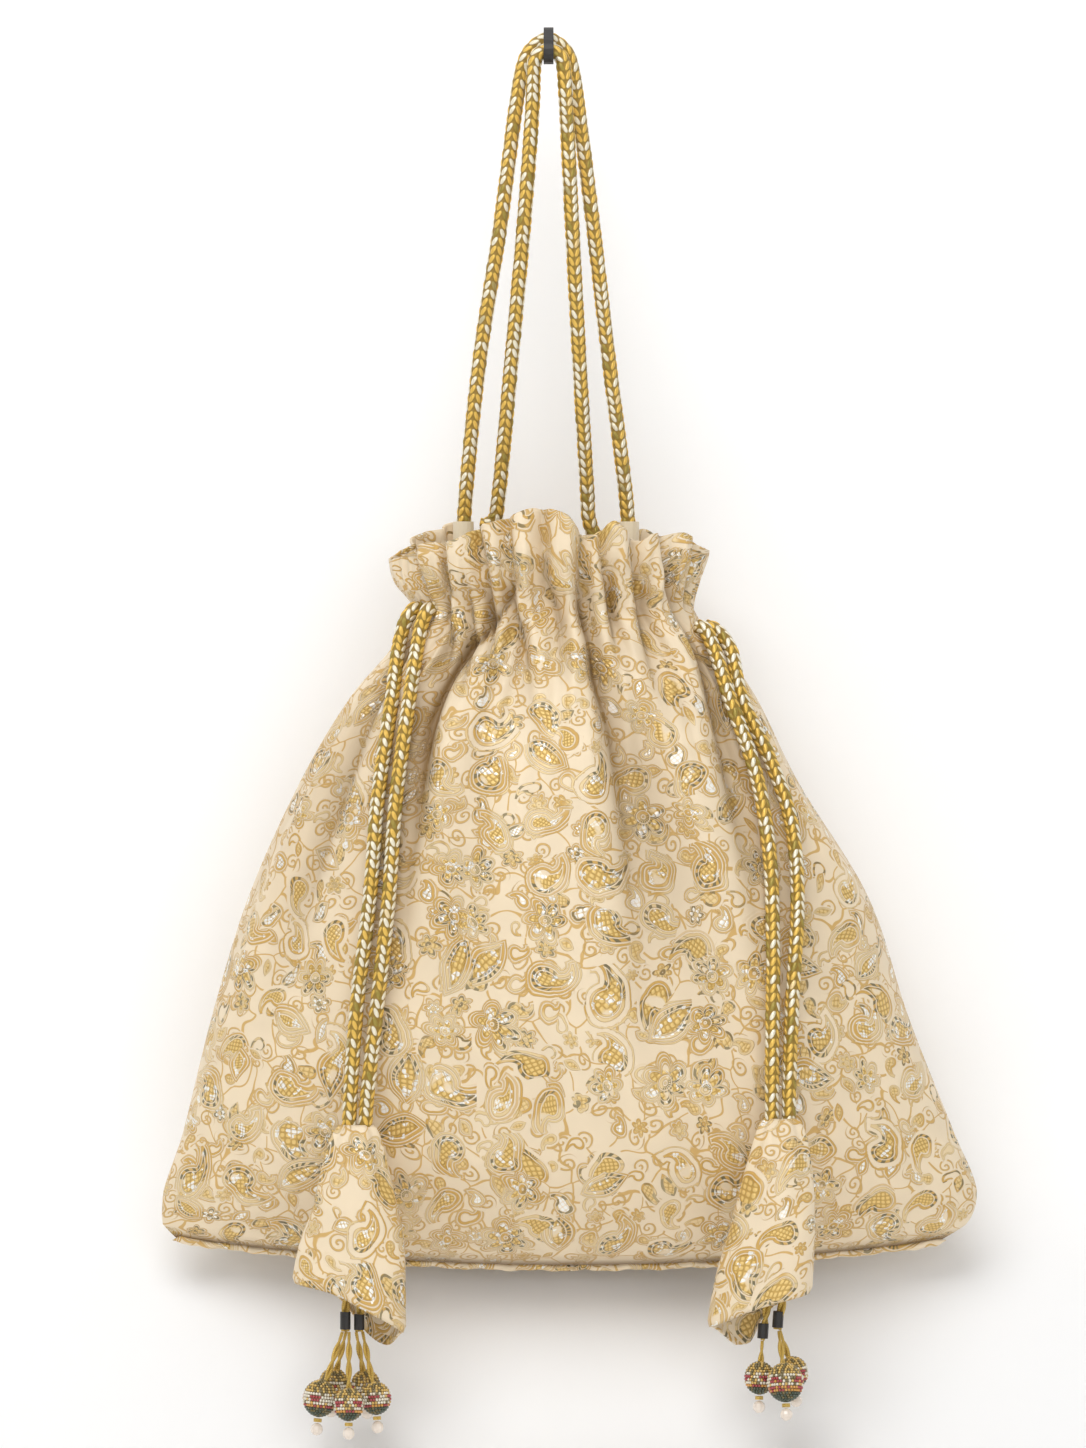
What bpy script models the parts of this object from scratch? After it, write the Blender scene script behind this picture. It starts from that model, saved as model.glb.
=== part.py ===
"""A drawstring potli bag: a gathered brocade pouch with a lining, two drawcords that end in folded cloth bells with
beaded drops, and a doubled cord handle bound at its bend. It hangs from the handle's bend.

The frame's origin is the underside of the handle's bend. +X is the bag's right as seen from its front, the front
faces -Y and +Z is up. Dimensions are millimetres and turned into metres as the points are made.
"""
import math

import bmesh
import bpy
from mathutils import Matrix, Vector

MM = 0.001
CLOTH = 0.8
SEAT = 0.3
LINING = 0.6

# The pouch at rising drops below the hang point: left edge, right edge, front depth, back depth, and how lens-like
# the section is (1 is an ellipse).
PROFILE = (
    (148, -52.0, 53.0, 26.0, 25.0, 1.00),
    (160, -51.5, 52.5, 26.0, 25.0, 1.00),
    (169, -49.5, 49.5, 23.0, 23.0, 1.00),
    (178, -43.5, 47.5, 20.0, 20.0, 1.00),
    (190, -50.0, 56.5, 24.0, 23.0, 1.00),
    (206, -63.5, 67.5, 31.0, 29.0, 1.00),
    (233, -79.5, 81.0, 40.0, 37.0, 1.02),
    (271, -96.5, 104.0, 47.0, 43.0, 1.05),
    (310, -108.5, 117.0, 49.0, 44.0, 1.10),
    (348, -118.0, 132.0, 41.0, 37.0, 1.16),
    (366, -124.0, 139.0, 29.0, 26.0, 1.20),
    (376, -124.5, 136.0, 16.0, 14.5, 1.20),
    (381, -120.0, 128.0, 4.0, 4.0, 1.00),
)
NECK_DROP = 178.0
SEAM_DROP = 381.0
SEAM_SAG = 8.5
SAG_START = 300.0
BODY_MIDDLE = 7.0

# The mouth's edge as seen from the front: x, drop.
FRONT_RIM = (
    (-53, 163), (-40, 157), (-29, 156), (-23, 152), (-15, 150), (-4.5, 146), (6, 148), (11, 154), (15, 154.5),
    (21, 150), (25, 153), (30, 156), (34, 154), (44, 153.5), (53, 159),
)
BACK_RIM = (
    (-53, 163), (-46, 156), (-36, 151), (-29, 149), (-22, 154), (-10, 155), (0, 156), (12, 157), (22, 154),
    (31, 151), (38, 156), (46, 155), (53, 159),
)

# Each crease of the gathers: x, drop, depth of the fold, half width of the fold.
FRONT_FOLDS = (
    ((-43, 162, 3.0, 4.0), (-38, 178, 3.5, 3.0), (-44, 190, 3.0, 4.0), (-58, 215, 2.6, 9.0), (-72, 255, 1.6, 14.0),
     (-82, 300, 0.0, 18.0)),
    ((-34, 154, 3.0, 4.0), (-31, 176, 4.0, 2.6), (-31, 188, 3.0, 3.0), (-36, 204, 0.0, 5.0)),
    ((-23, 149, 3.5, 4.0), (-19, 168, 4.0, 2.8), (-17, 184, 3.5, 2.8), (-16, 202, 0.0, 4.0)),
    ((-26, 166, 0.0, 2.5), (-24, 180, 3.0, 2.4), (-24, 192, 3.0, 3.0), (-27, 208, 0.0, 4.0)),
    ((-8, 166, 0.0, 2.5), (-16, 183, 4.5, 2.8), (-23, 190, 5.0, 4.0), (-31, 201, 6.0, 5.5), (-36, 214, 6.0, 8.0),
     (-40, 236, 4.2, 12.0), (-44, 268, 2.0, 17.0), (-47, 310, 0.0, 22.0)),
    ((-12, 152, 3.0, 3.6), (-10, 176, 4.0, 2.6), (-7, 190, 2.8, 4.0), (-4, 218, 0.0, 9.0)),
    ((-1, 150, 3.5, 4.0), (0, 168, 4.0, 2.8), (3.5, 180, 4.0, 2.6), (5, 204, 0.0, 5.0)),
    ((11, 152, 3.5, 3.2), (10, 177, 4.5, 2.6), (13, 189, 5.0, 3.2), (15, 202, 5.0, 5.0), (19, 216, 4.0, 8.0),
     (23, 240, 3.2, 13.0), (27, 282, 1.5, 18.0), (30, 325, 0.0, 22.0)),
    ((17, 158, 2.5, 3.0), (19, 172, 4.0, 2.6), (21, 186, 2.8, 3.0), (23, 200, 0.0, 4.0)),
    ((27, 154, 3.5, 4.0), (29, 176, 4.0, 2.8), (32, 192, 2.8, 4.0), (38, 218, 0.0, 9.0)),
    ((37, 154, 3.0, 3.6), (40, 178, 4.0, 2.8), (46, 188, 4.5, 3.5), (51, 200, 3.6, 6.0), (57, 228, 2.8, 11.0),
     (64, 265, 1.6, 16.0), (70, 305, 0.0, 20.0)),
    ((48, 160, 2.5, 3.4), (45, 177, 3.0, 2.6), (53, 190, 2.0, 4.0), (62, 210, 0.0, 7.0)),
)
BACK_FOLD_COUNT = 11
BACK_FOLD_DEPTH = 4.2
BACK_FOLD_REACH = 300.0
BACK_FOLD_SPREAD = 0.9
# A back crease from its top down: drop from the neck, share of its depth, half width. Its foot comes after these.
BACK_FOLD_ROWS = ((-24, 0.7, 3.8), (0, 1.0, 2.8), (14, 0.8, 4.0), (37, 0.5, 8.0))
BACK_FOLD_FOOT = 16.0

# How a crease begins above its first point, how pointed it is, how deep all together may be, and how much less
# the cloth is drawn in at the pouch's two sides.
FOLD_START = 8.0
FOLD_POINT = 1.35
FOLD_DEEPEST = 7.0
SIDE_PULL = 0.35
SIDE_REACH = 0.25
SIDEWAYS_PULL = 0.8

# Points round the pouch above and below the drop where its folds are broad enough for half as many.
ROUND_LOWER = 50
ROUND_UPPER = 2 * ROUND_LOWER
RUFFLE_WIDEST = NECK_DROP - 18.0
RUFFLE_STEPS = (1.0, 0.8, 0.6, 0.4, 0.2)
UPPER_DROPS = (178, 183, 188, 194, 202, 212, 226)
LOWER_DROPS = (242, 262, 285, 310, 332, 350, 362, 370, 376, 381)

LINING_ROUND = 36
LINING_ROOM = 2.4
LINING_NECK_ROOM = 6.5
LINING_SPREAD = (NECK_DROP + 37.0, SEAM_DROP - 41.0)
LINING_SAG = 0.9
LINING_DROPS = (187.5, 194, 206, 230, 262, 300, 338, 360, 371)

CORD = 4.8

# The handle's two cords: routes through points on their centrelines.
HANDLE_OUTER_ROUTE = (
    (-27.2, 13.4, -152.0), (-26.4, 13.2, -140.0), (-21.8, 10.0, -96.0), (-15.2, 5.6, -53.8), (-9.9, 3.2, -14.0),
    (-8.2, 2.9, -4.0), (-5.6, 2.6, 2.6), (0.2, 2.2, 6.5), (6.2, 3.0, 2.6), (8.4, 3.6, -4.0), (9.9, 4.0, -14.0),
    (15.0, 6.2, -53.8), (20.0, 10.2, -96.0), (25.6, 13.2, -140.0), (26.6, 13.4, -152.0),
)
HANDLE_INNER_ROUTE = (
    (-22.0, 13.4, -150.4), (-19.6, 13.4, -150.2), (-16.9, 13.0, -148.0), (-16.0, 12.4, -143.0), (-11.4, 6.0, -96.0),
    (-7.5, 0.6, -53.8), (-4.6, -2.0, -14.0), (-4.3, -2.3, -4.0), (-3.7, -2.4, -0.4), (-2.1, -2.5, 1.6),
    (0.6, -2.5, 2.4), (3.3, -2.5, 1.6), (4.9, -2.4, -0.4), (5.5, -2.3, -4.0), (6.1, -2.0, -14.0),
    (8.1, 0.2, -53.8), (10.4, 5.6, -96.0), (13.1, 12.0, -140.0), (13.6, 12.6, -148.0), (15.4, 13.2, -153.2),
    (18.4, 13.4, -155.0), (21.2, 13.4, -155.3),
)
HANDLE_SPACING = 14.0
TAB_PLACES = {"left": (-27.2, 13.4, -149.2), "right": (26.6, 13.4, -149.2)}
TAB_SECTIONS = ((0.0, 3.4, 3.4), (6.0, 3.4, 3.4), (9.0, 4.6, 2.2), (13.0, 5.5, 0.9))
BAND_CENTRES = ((-2.5, 2.2), (2.2, 6.2))
BAND_PLACE = 0.5
BAND_WIDTH = 3.2
BAND_ROOM = 3.7
BAND_CLOTH = 0.6
BAND_ARC = 8
TAB_ROUND = 16
TAB_CLOTH = 0.6

# The channel at the neck, its slits and the drawcords' hidden turns.
CHANNEL_DROPS = (171.5, 184.5)
NECK_LOOP_DROPS = {"left": 175.4, "right": 180.9}
NECK_LOOP_SPACING = 14.0
LOOP_MIDDLE = 2.0
LOOP_WIDE = 36.0
LOOP_DEEP = 10.8
LOOP_FULLNESS = 0.75
LOOP_START = 20
LOOP_STEP = 16
FACING_ROOM = 1.2
SLIT_ANGLES = {"left": 206.0, "right": 345.0}
SLIT_HALF = math.radians(17)
SLIT_BANDS = {"left": (174.0, 181.0), "right": (178.0, 187.0)}
EXIT_DROPS = {"left": 177.5, "right": 183.5}
STRAND_START_GAP = 3.4

# The drawcords' strands from their slits over the belly into the bells.
STRAND_ROUTES = {
    ("left", "outer"): (
        (-40.9, -7.0, -177.5), (-43.4, -9.6, -178.6), (-45.9, -11.0, -183.0), (-47.6, -12.4, -190.0),
        (-49.6, -21.0, -207.0), (-53.8, -33.5, -239.0), (-56.2, -40.5, -271.0), (-60.0, -44.0, -303.0),
        (-62.4, -45.6, -338.0), (-63.0, -47.5, -362.0), (-63.2, -49.0, -386.0),
    ),
    ("left", "inner"): (
        (-36.9, -10.6, -177.5), (-38.4, -13.2, -178.6), (-40.2, -15.0, -183.0), (-41.5, -17.4, -190.0),
        (-43.9, -25.8, -207.0), (-48.0, -35.5, -239.0), (-50.2, -42.5, -271.0), (-53.6, -45.5, -303.0),
        (-57.2, -46.5, -338.0), (-57.8, -48.0, -362.0), (-58.0, -49.0, -386.0),
    ),
    ("right", "outer"): (
        (50.9, -3.3, -183.5), (54.0, -5.2, -184.5), (58.8, -9.6, -190.5), (62.4, -16.4, -207.0),
        (71.4, -18.8, -226.6), (77.8, -24.4, -245.8), (79.6, -34.0, -271.4), (77.6, -41.5, -303.4),
        (76.4, -45.0, -338.0), (76.6, -47.5, -362.0), (76.8, -49.0, -386.0),
    ),
    ("right", "inner"): (
        (48.1, -7.9, -183.5), (50.6, -9.8, -184.5), (53.4, -12.4, -190.5), (58.8, -20.0, -208.0),
        (66.4, -25.0, -230.0), (70.6, -32.2, -255.0), (71.6, -40.0, -287.0), (71.2, -44.5, -310.0),
        (71.0, -45.8, -338.0), (71.2, -47.5, -362.0), (71.4, -49.0, -386.0),
    ),
}
STRAND_SPACING = 14.0
ROUTE_TURN = math.radians(20)

# A bell's sections from its top to its rim: share of its height, middle x, half width, half depth, y.
# Its rim: x, drop.
BELLS = {
    "left": {
        "top": 341.5,
        "crease": 2.2,
        "sections": (
            (0.0, -60.0, 6.8, 4.2, -46.4), (0.12, -60.1, 8.6, 5.6, -47.2), (0.3, -60.0, 11.4, 7.4, -48.2),
            (0.5, -60.0, 14.0, 8.8, -49.0), (0.75, -61.4, 16.6, 9.6, -49.6), (1.0, -61.9, 18.0, 9.8, -50.0),
        ),
        "front_rim": ((-80, 391), (-66, 395), (-52, 402), (-44, 407)),
        "back_rim": ((-80, 391), (-66, 397), (-57, 408), (-50, 411.5), (-44, 407)),
    },
    "right": {
        "top": 339.5,
        "crease": 2.0,
        "sections": (
            (0.0, 73.8, 6.8, 4.2, -46.0), (0.12, 73.6, 8.4, 5.6, -46.9), (0.3, 72.6, 11.0, 7.4, -47.9),
            (0.5, 70.8, 13.2, 8.8, -48.8), (0.75, 68.6, 15.4, 9.6, -49.5), (1.0, 67.4, 16.6, 9.8, -50.0),
        ),
        "front_rim": ((50.8, 405), (60, 401), (72, 397), (84, 394)),
        "back_rim": ((50.8, 405), (59, 411.5), (64, 411), (70, 401), (84, 394)),
    },
}
BELL_ROUND = 24
BELL_SHARES = (0.0, 0.12, 0.3, 0.5, 0.75, 1.0)
BELL_CREASE_ANGLE = 250.0
BELL_CREASE_WIDTH = 26.0
BELL_CREASE_SPAN = (0.15, 0.7)

# Below the cords: a thread stem from its start to where its black binding takes it, and the binding's end.
STEM = 2.6
BINDING = 3.4
BINDINGS = {
    "left": (((-63.3, -49.4, -386.4), (-63.6, -50.0, -400.0), (-63.6, -50.2, -405.8)),
             ((-58.0, -49.2, -386.4), (-59.2, -49.4, -400.8), (-59.3, -49.4, -406.0))),
    "right": (((71.0, -49.4, -386.4), (68.2, -50.4, -403.6), (67.9, -50.6, -408.6)),
              ((76.4, -49.4, -386.4), (73.0, -50.0, -399.8), (72.6, -50.0, -405.2))),
}

# Each beaded drop: its thread's top, its ball's centre, its ball's radius.
DROPS = {
    "left": (
        ((-64.5, -50.8, -406.6), (-71.4, -55.0, -427.0), 5.6),
        ((-62.4, -51.1, -406.6), (-62.2, -61.0, -428.3), 5.0),
        ((-58.2, -48.8, -406.7), (-53.9, -54.8, -427.0), 5.0),
        ((-63.4, -49.0, -406.6), (-67.6, -44.4, -423.5), 4.8),
        ((-60.2, -49.9, -406.7), (-57.4, -44.6, -424.0), 4.8),
    ),
    "right": (
        ((67.8, -50.9, -409.3), (66.9, -53.0, -420.8), 5.0),
        ((73.0, -51.2, -406.3), (74.6, -61.6, -421.3), 5.9),
        ((73.4, -48.9, -406.3), (77.6, -49.2, -419.5), 4.9),
    ),
}
BALL_TALL = 1.08
THREAD = 1.6
CAP = 2.6
CAP_HEIGHT = 1.1
PEARL = 4.0
ROD_SIDES = 10
THREAD_SIDES = 8
BALL_FACES = (12, 9)
PEARL_FACES = (10, 6)

PIPING = 2.4
PIPING_POINTS = 25
PIPING_ENDS = (-117.0, 125.0)


def smooth(a, b, x):
    """0 up to a, 1 from b on, and an S between them."""
    t = min(1.0, max(0.0, (x - a) / (b - a)))
    return t * t * (3.0 - 2.0 * t)


def along(rows, key):
    """The values of rows at key, on a smooth curve through the rows, which start with their own keys."""
    if key <= rows[0][0]:
        return rows[0][1:]
    if key >= rows[-1][0]:
        return rows[-1][1:]
    i = max(n for n, row in enumerate(rows) if row[0] <= key)
    low, high = rows[i], rows[i + 1]
    before = rows[max(0, i - 1)]
    after = rows[min(len(rows) - 1, i + 2)]
    span = high[0] - low[0]
    t = (key - low[0]) / span
    values = []
    for column in range(1, len(low)):
        slope = (high[column] - low[column]) / span
        left = (high[column] - before[column]) / (high[0] - before[0])
        right = (after[column] - low[column]) / (after[0] - low[0])
        left = clamp_slope(left, slope)
        right = clamp_slope(right, slope)
        values.append(
            low[column] * (2 * t**3 - 3 * t**2 + 1)
            + left * span * (t**3 - 2 * t**2 + t)
            + high[column] * (3 * t**2 - 2 * t**3)
            + right * span * (t**3 - t**2)
        )
    return values


def clamp_slope(slope, chord):
    """A knot's slope that keeps the curve from running past its knots."""
    if slope * chord <= 0:
        return 0.0
    return math.copysign(min(abs(slope), 3 * abs(chord)), chord)


def back_folds():
    """The back's creases, which the photograph doesn't show: evenly spread, each a little unlike the next."""
    folds = []
    for n in range(BACK_FOLD_COUNT):
        share = BACK_FOLD_SPREAD * (2 * n / (BACK_FOLD_COUNT - 1) - 1) + 0.05 * math.sin(2.3 * n)
        depth = BACK_FOLD_DEPTH * (0.8 + 0.25 * math.sin(1.7 * n + 0.6))
        reach = NECK_DROP + (BACK_FOLD_REACH - NECK_DROP) * (0.45 + 0.4 * math.sin(2.9 * n + 1.0) ** 2)
        rows = []
        for below, part, width in (*BACK_FOLD_ROWS, (reach - NECK_DROP, 0.0, BACK_FOLD_FOOT)):
            drop = NECK_DROP + below
            left, right = along(PROFILE, drop)[:2]
            rows.append(((left + right) / 2 + share * (right - left) / 2, drop, depth * part, width))
        folds.append(sorted(rows, key=lambda row: row[1]))
    return folds


def fold_table(folds):
    """Folds keyed by drop: drop, x, depth, half width."""
    return [[(row[1], row[0], row[2], row[3]) for row in fold] for fold in folds]


FOLDS = {-1: fold_table(FRONT_FOLDS), 1: fold_table(back_folds())}


def crease(side, x, drop):
    """How far the folds on one side draw the cloth in at x."""
    total = 0.0
    for rows in FOLDS[side]:
        start = rows[0][0] - FOLD_START
        if start < drop < rows[-1][0]:
            middle, depth, width = along(rows, drop)
            depth *= smooth(start, rows[0][0], drop)
            total += depth * math.exp(-abs((x - middle) / width) ** FOLD_POINT)
    return min(total, FOLD_DEEPEST)


def rim_drop(x, side):
    return along(FRONT_RIM if side < 0 else BACK_RIM, x)[0]


def section_point(angle, drop, inset=0.0, folded=1.0):
    """The pouch's point at an angle round it, 0 at its right edge and 90 degrees at its back."""
    left, right, front, back, lens = along(PROFILE, drop)
    side = 1 if math.sin(angle) > 0 else -1
    deep = (back if side > 0 else front) - inset
    middle, wide = (left + right) / 2, (right - left) / 2 - inset
    rise = abs(math.sin(angle))
    x = middle + wide * math.cos(angle)
    y = side * deep * rise**lens
    normal = Vector((math.cos(angle) / wide, side * rise / deep)).normalized()
    facing = smooth(0.0, SIDE_REACH, rise)
    pull = folded * crease(side, x, drop) * (SIDE_PULL + (1 - SIDE_PULL) * facing)
    return x - normal.x * pull * SIDEWAYS_PULL, y - normal.y * pull


def sag(x, drop):
    """How much lower the cloth hangs at x than at the pouch's sides."""
    left, right = along(PROFILE, drop)[:2]
    across = (x - BODY_MIDDLE) / ((right - left) / 2)
    return SEAM_SAG * max(0.0, 1 - across**2) * smooth(SAG_START, SEAM_DROP, drop)


def body_point(angle, drop):
    x, y = section_point(angle, drop)
    return Vector((x, y, -drop - sag(x, drop))) * MM


def ruffle_point(angle, share):
    """A point of the ruffle above the neck: share is 0 at the neck and 1 at the mouth's edge."""
    side = 1 if math.sin(angle) > 0 else -1
    left, right = along(PROFILE, RUFFLE_WIDEST)[:2]
    x = (left + right) / 2 + (right - left) / 2 * math.cos(angle)
    edge = rim_drop(x, side)
    drop = NECK_DROP + (edge - NECK_DROP) * share
    x, y = section_point(angle, drop)
    return Vector((x, y, -drop)) * MM


def ring(point, count, *values):
    count = round(count)
    return [point(2 * math.pi * n / count, *values) for n in range(count)]


def loft(rings, closed_end=False):
    """A mesh through rings of points, where a ring may have half as many points as the one before it."""
    shape = bmesh.new()
    rows = [[shape.verts.new(p) for p in points] for points in rings]
    for above, below in zip(rows, rows[1:]):
        count = len(above)
        for n in range(count):
            after = (n + 1) % count
            if len(below) == count:
                shape.faces.new((above[n], above[after], below[after], below[n]))
            elif n % 2 == 0:
                low, next_low = below[n // 2], below[(n // 2 + 1) % len(below)]
                last = above[(n + 2) % count]
                shape.faces.new((above[n], above[after], low))
                shape.faces.new((above[after], last, next_low))
                shape.faces.new((above[after], next_low, low))
    if closed_end:
        end = rows[-1]
        half = len(end) // 2
        for n in range(half):
            corners = (end[n], end[n + 1], end[-n - 1], end[-n] if n else end[0])
            shape.faces.new(list(dict.fromkeys(corners)))
    bmesh.ops.recalc_face_normals(shape, faces=shape.faces)
    return shape


def object_from(name, shape, collection, material):
    mesh = bpy.data.meshes.new(name)
    shape.to_mesh(mesh)
    shape.free()
    mesh.shade_smooth()
    mesh.set_sharp_from_angle(angle=math.radians(50))
    made = bpy.data.objects.new(name, mesh)
    made.data.materials.append(material)
    collection.objects.link(made)
    return made


def thicken(thing, cloth):
    """Gives an open surface its cloth's thickness, inwards."""
    solid = thing.modifiers.new("cloth", "SOLIDIFY")
    solid.thickness = cloth * MM
    solid.offset = -1.0
    return thing


def material_of(name, colour, roughness, metallic=0.0):
    made = bpy.data.materials.new(name)
    made.use_nodes = True
    surface = next(node for node in made.node_tree.nodes if node.type == "BSDF_PRINCIPLED")
    surface.inputs["Base Color"].default_value = (*colour, 1.0)
    surface.inputs["Roughness"].default_value = roughness
    surface.inputs["Metallic"].default_value = metallic
    made.diffuse_color = (*colour, 1.0)
    return made


def cut_slit(shape, angle, drops):
    """Opens the cloth where a drawcord's two ends leave its channel."""
    bearing = math.radians(angle)
    gone = []
    for face in shape.faces:
        middle = face.calc_center_median() / MM
        left, right, front, back, _ = along(PROFILE, max(-middle.z, NECK_DROP))
        at = math.atan2(middle.y / front, (middle.x - (left + right) / 2) / ((right - left) / 2))
        off = abs((at - bearing + math.pi) % (2 * math.pi) - math.pi)
        if drops[0] < -middle.z < drops[1] and off < SLIT_HALF:
            gone.append(face)
    bmesh.ops.delete(shape, geom=gone, context="FACES")


def outer_bag(collection, cloth):
    rings = [ring(ruffle_point, ROUND_UPPER, share) for share in RUFFLE_STEPS]
    rings += [ring(body_point, ROUND_UPPER, drop) for drop in UPPER_DROPS]
    rings += [ring(body_point, ROUND_LOWER, drop) for drop in LOWER_DROPS]
    shape = loft(rings, closed_end=True)
    for side, band in SLIT_BANDS.items():
        cut_slit(shape, SLIT_ANGLES[side], band)
    return thicken(object_from("outer_bag", shape, collection, cloth), CLOTH)


def lining_point(angle, drop):
    inset = LINING_ROOM + LINING_NECK_ROOM * (1 - smooth(*LINING_SPREAD, drop))
    x, y = section_point(angle, drop, inset, 0.0)
    return Vector((x, y, -drop - sag(x, drop) * LINING_SAG)) * MM


def lining(collection, satin):
    rings = [ring(lining_point, LINING_ROUND, drop) for drop in LINING_DROPS]
    return thicken(object_from("lining", loft(rings, closed_end=True), collection, satin), LINING)


def smooth_route(route, spacing):
    """Points on a smooth curve through a route's points: closer together where it bends."""
    points = [Vector(p) for p in route]
    fine = []
    for n in range(len(points) - 1):
        before = points[n - 1] if n else points[0] * 2 - points[1]
        after = points[n + 2] if n + 2 < len(points) else points[-1] * 2 - points[-2]
        here, there = points[n], points[n + 1]
        knots = [0.0]
        for a, b in ((before, here), (here, there), (there, after)):
            knots.append(knots[-1] + math.sqrt(max((b - a).length, 1e-6)))
        for step in range(12):
            fine.append(centripetal(before, here, there, after, knots, step / 12))
    fine.append(points[-1])
    lengths = [0.0]
    for n, (a, b) in enumerate(zip(fine, fine[1:])):
        turn = (b - a).angle(fine[n + 2] - b) if n + 2 < len(fine) else 0.0
        lengths.append(lengths[-1] + (b - a).length / spacing + turn / ROUTE_TURN)
    count = max(2, round(lengths[-1]) + 1)
    result = []
    for n in range(count):
        target = lengths[-1] * n / (count - 1)
        i = min(len(fine) - 2, max(k for k, v in enumerate(lengths) if v <= target + 1e-9))
        part = (target - lengths[i]) / max(lengths[i + 1] - lengths[i], 1e-9)
        result.append(fine[i].lerp(fine[i + 1], part))
    return result


def centripetal(p0, p1, p2, p3, t, share):
    u = t[1] + (t[2] - t[1]) * share
    a1 = p0 * ((t[1] - u) / (t[1] - t[0])) + p1 * ((u - t[0]) / (t[1] - t[0]))
    a2 = p1 * ((t[2] - u) / (t[2] - t[1])) + p2 * ((u - t[1]) / (t[2] - t[1]))
    a3 = p2 * ((t[3] - u) / (t[3] - t[2])) + p3 * ((u - t[2]) / (t[3] - t[2]))
    b1 = a1 * ((t[2] - u) / (t[2] - t[0])) + a2 * ((u - t[0]) / (t[2] - t[0]))
    b2 = a2 * ((t[3] - u) / (t[3] - t[1])) + a3 * ((u - t[1]) / (t[3] - t[1]))
    return b1 * ((t[2] - u) / (t[2] - t[1])) + b2 * ((u - t[1]) / (t[2] - t[1]))


def tube(name, points, diameter, collection, material, rounds=2):
    curve = bpy.data.curves.new(name, "CURVE")
    curve.dimensions = "3D"
    curve.bevel_depth = diameter / 2 * MM
    curve.bevel_resolution = rounds
    curve.use_fill_caps = True
    line = curve.splines.new("POLY")
    line.points.add(len(points) - 1)
    for point, place in zip(line.points, points):
        point.co = (*(place * MM), 1.0)
    made = bpy.data.objects.new(name, curve)
    made.data.materials.append(material)
    collection.objects.link(made)
    return made


def neck_slit(side):
    """A slit's middle on the unfolded neck, its outward direction and the direction of a rising angle there."""
    angle = math.radians(SLIT_ANGLES[side])
    left, right, front, _, _ = along(PROFILE, EXIT_DROPS[side])
    wide = (right - left) / 2
    middle = Vector(((left + right) / 2 + wide * math.cos(angle), front * math.sin(angle), -EXIT_DROPS[side]))
    outward = Vector((math.cos(angle) / wide, math.sin(angle) / front, 0)).normalized()
    return middle, outward, Vector((-outward.y, outward.x, 0))


def loop_place(angle, inset):
    """A point of the drawcords' turn round the neck, which is fuller than an ellipse at its ends."""
    rise = math.sin(angle)
    y = math.copysign((LOOP_DEEP - inset) * abs(rise) ** LOOP_FULLNESS, rise)
    return LOOP_MIDDLE + (LOOP_WIDE - inset) * math.cos(angle), y


def neck_loop(side, collection, braid):
    """The hidden turn of a drawcord through the channel, from one end in its slit round the neck to the other."""
    _, outward, onward = neck_slit(side)
    drop = NECK_LOOP_DROPS[side]
    turn = []
    for degrees in range(LOOP_START, 361 - LOOP_START, LOOP_STEP):
        angle = math.radians(SLIT_ANGLES[side] + degrees)
        x, y = loop_place(angle, 0.0)
        turn.append((x, y, -drop))
    starts = [Vector(STRAND_ROUTES[side, part][0]) for part in ("outer", "inner")]
    starts.sort(key=lambda p: p.dot(onward), reverse=True)
    ends = [p - outward * STRAND_START_GAP for p in starts]
    route = [ends[0], *turn, ends[1]]
    return tube(side + "_drawcord_loop", smooth_route(route, NECK_LOOP_SPACING), CORD, collection, braid)


def channel_facing(collection, satin):
    """The strip that closes the drawcords' channel on the inside of the neck."""

    def point(angle, drop):
        x, y = loop_place(angle, CORD / 2 + FACING_ROOM)
        return Vector((x, y, -drop)) * MM

    shape = loft([ring(point, LINING_ROUND, drop) for drop in CHANNEL_DROPS])
    return thicken(object_from("channel_facing", shape, collection, satin), LINING)


def bottom_piping(collection, cloth):
    """The narrow rolled edge along the seam."""
    points = []
    for n in range(PIPING_POINTS):
        x = PIPING_ENDS[0] + (PIPING_ENDS[1] - PIPING_ENDS[0]) * n / (PIPING_POINTS - 1)
        low = SEAM_DROP + sag(x, SEAM_DROP) + SEAT + PIPING / 2
        points.append(Vector((x, 0, -low)))
    return tube("bottom_piping", points, PIPING, collection, cloth)


def handle_tab(side, collection, cloth):
    """The stitched cloth tab that holds the handle's turn to the back of the mouth."""
    x, y, z = TAB_PLACES[side]

    def point(angle, depth, wide, deep):
        return Vector((x + wide * math.cos(angle), y + deep * math.sin(angle), z - depth)) * MM

    rings = [ring(point, TAB_ROUND, depth, wide, deep) for depth, wide, deep in TAB_SECTIONS]
    return thicken(object_from("handle_tab_" + side, loft(rings, closed_end=True), collection, cloth), TAB_CLOTH)


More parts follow.
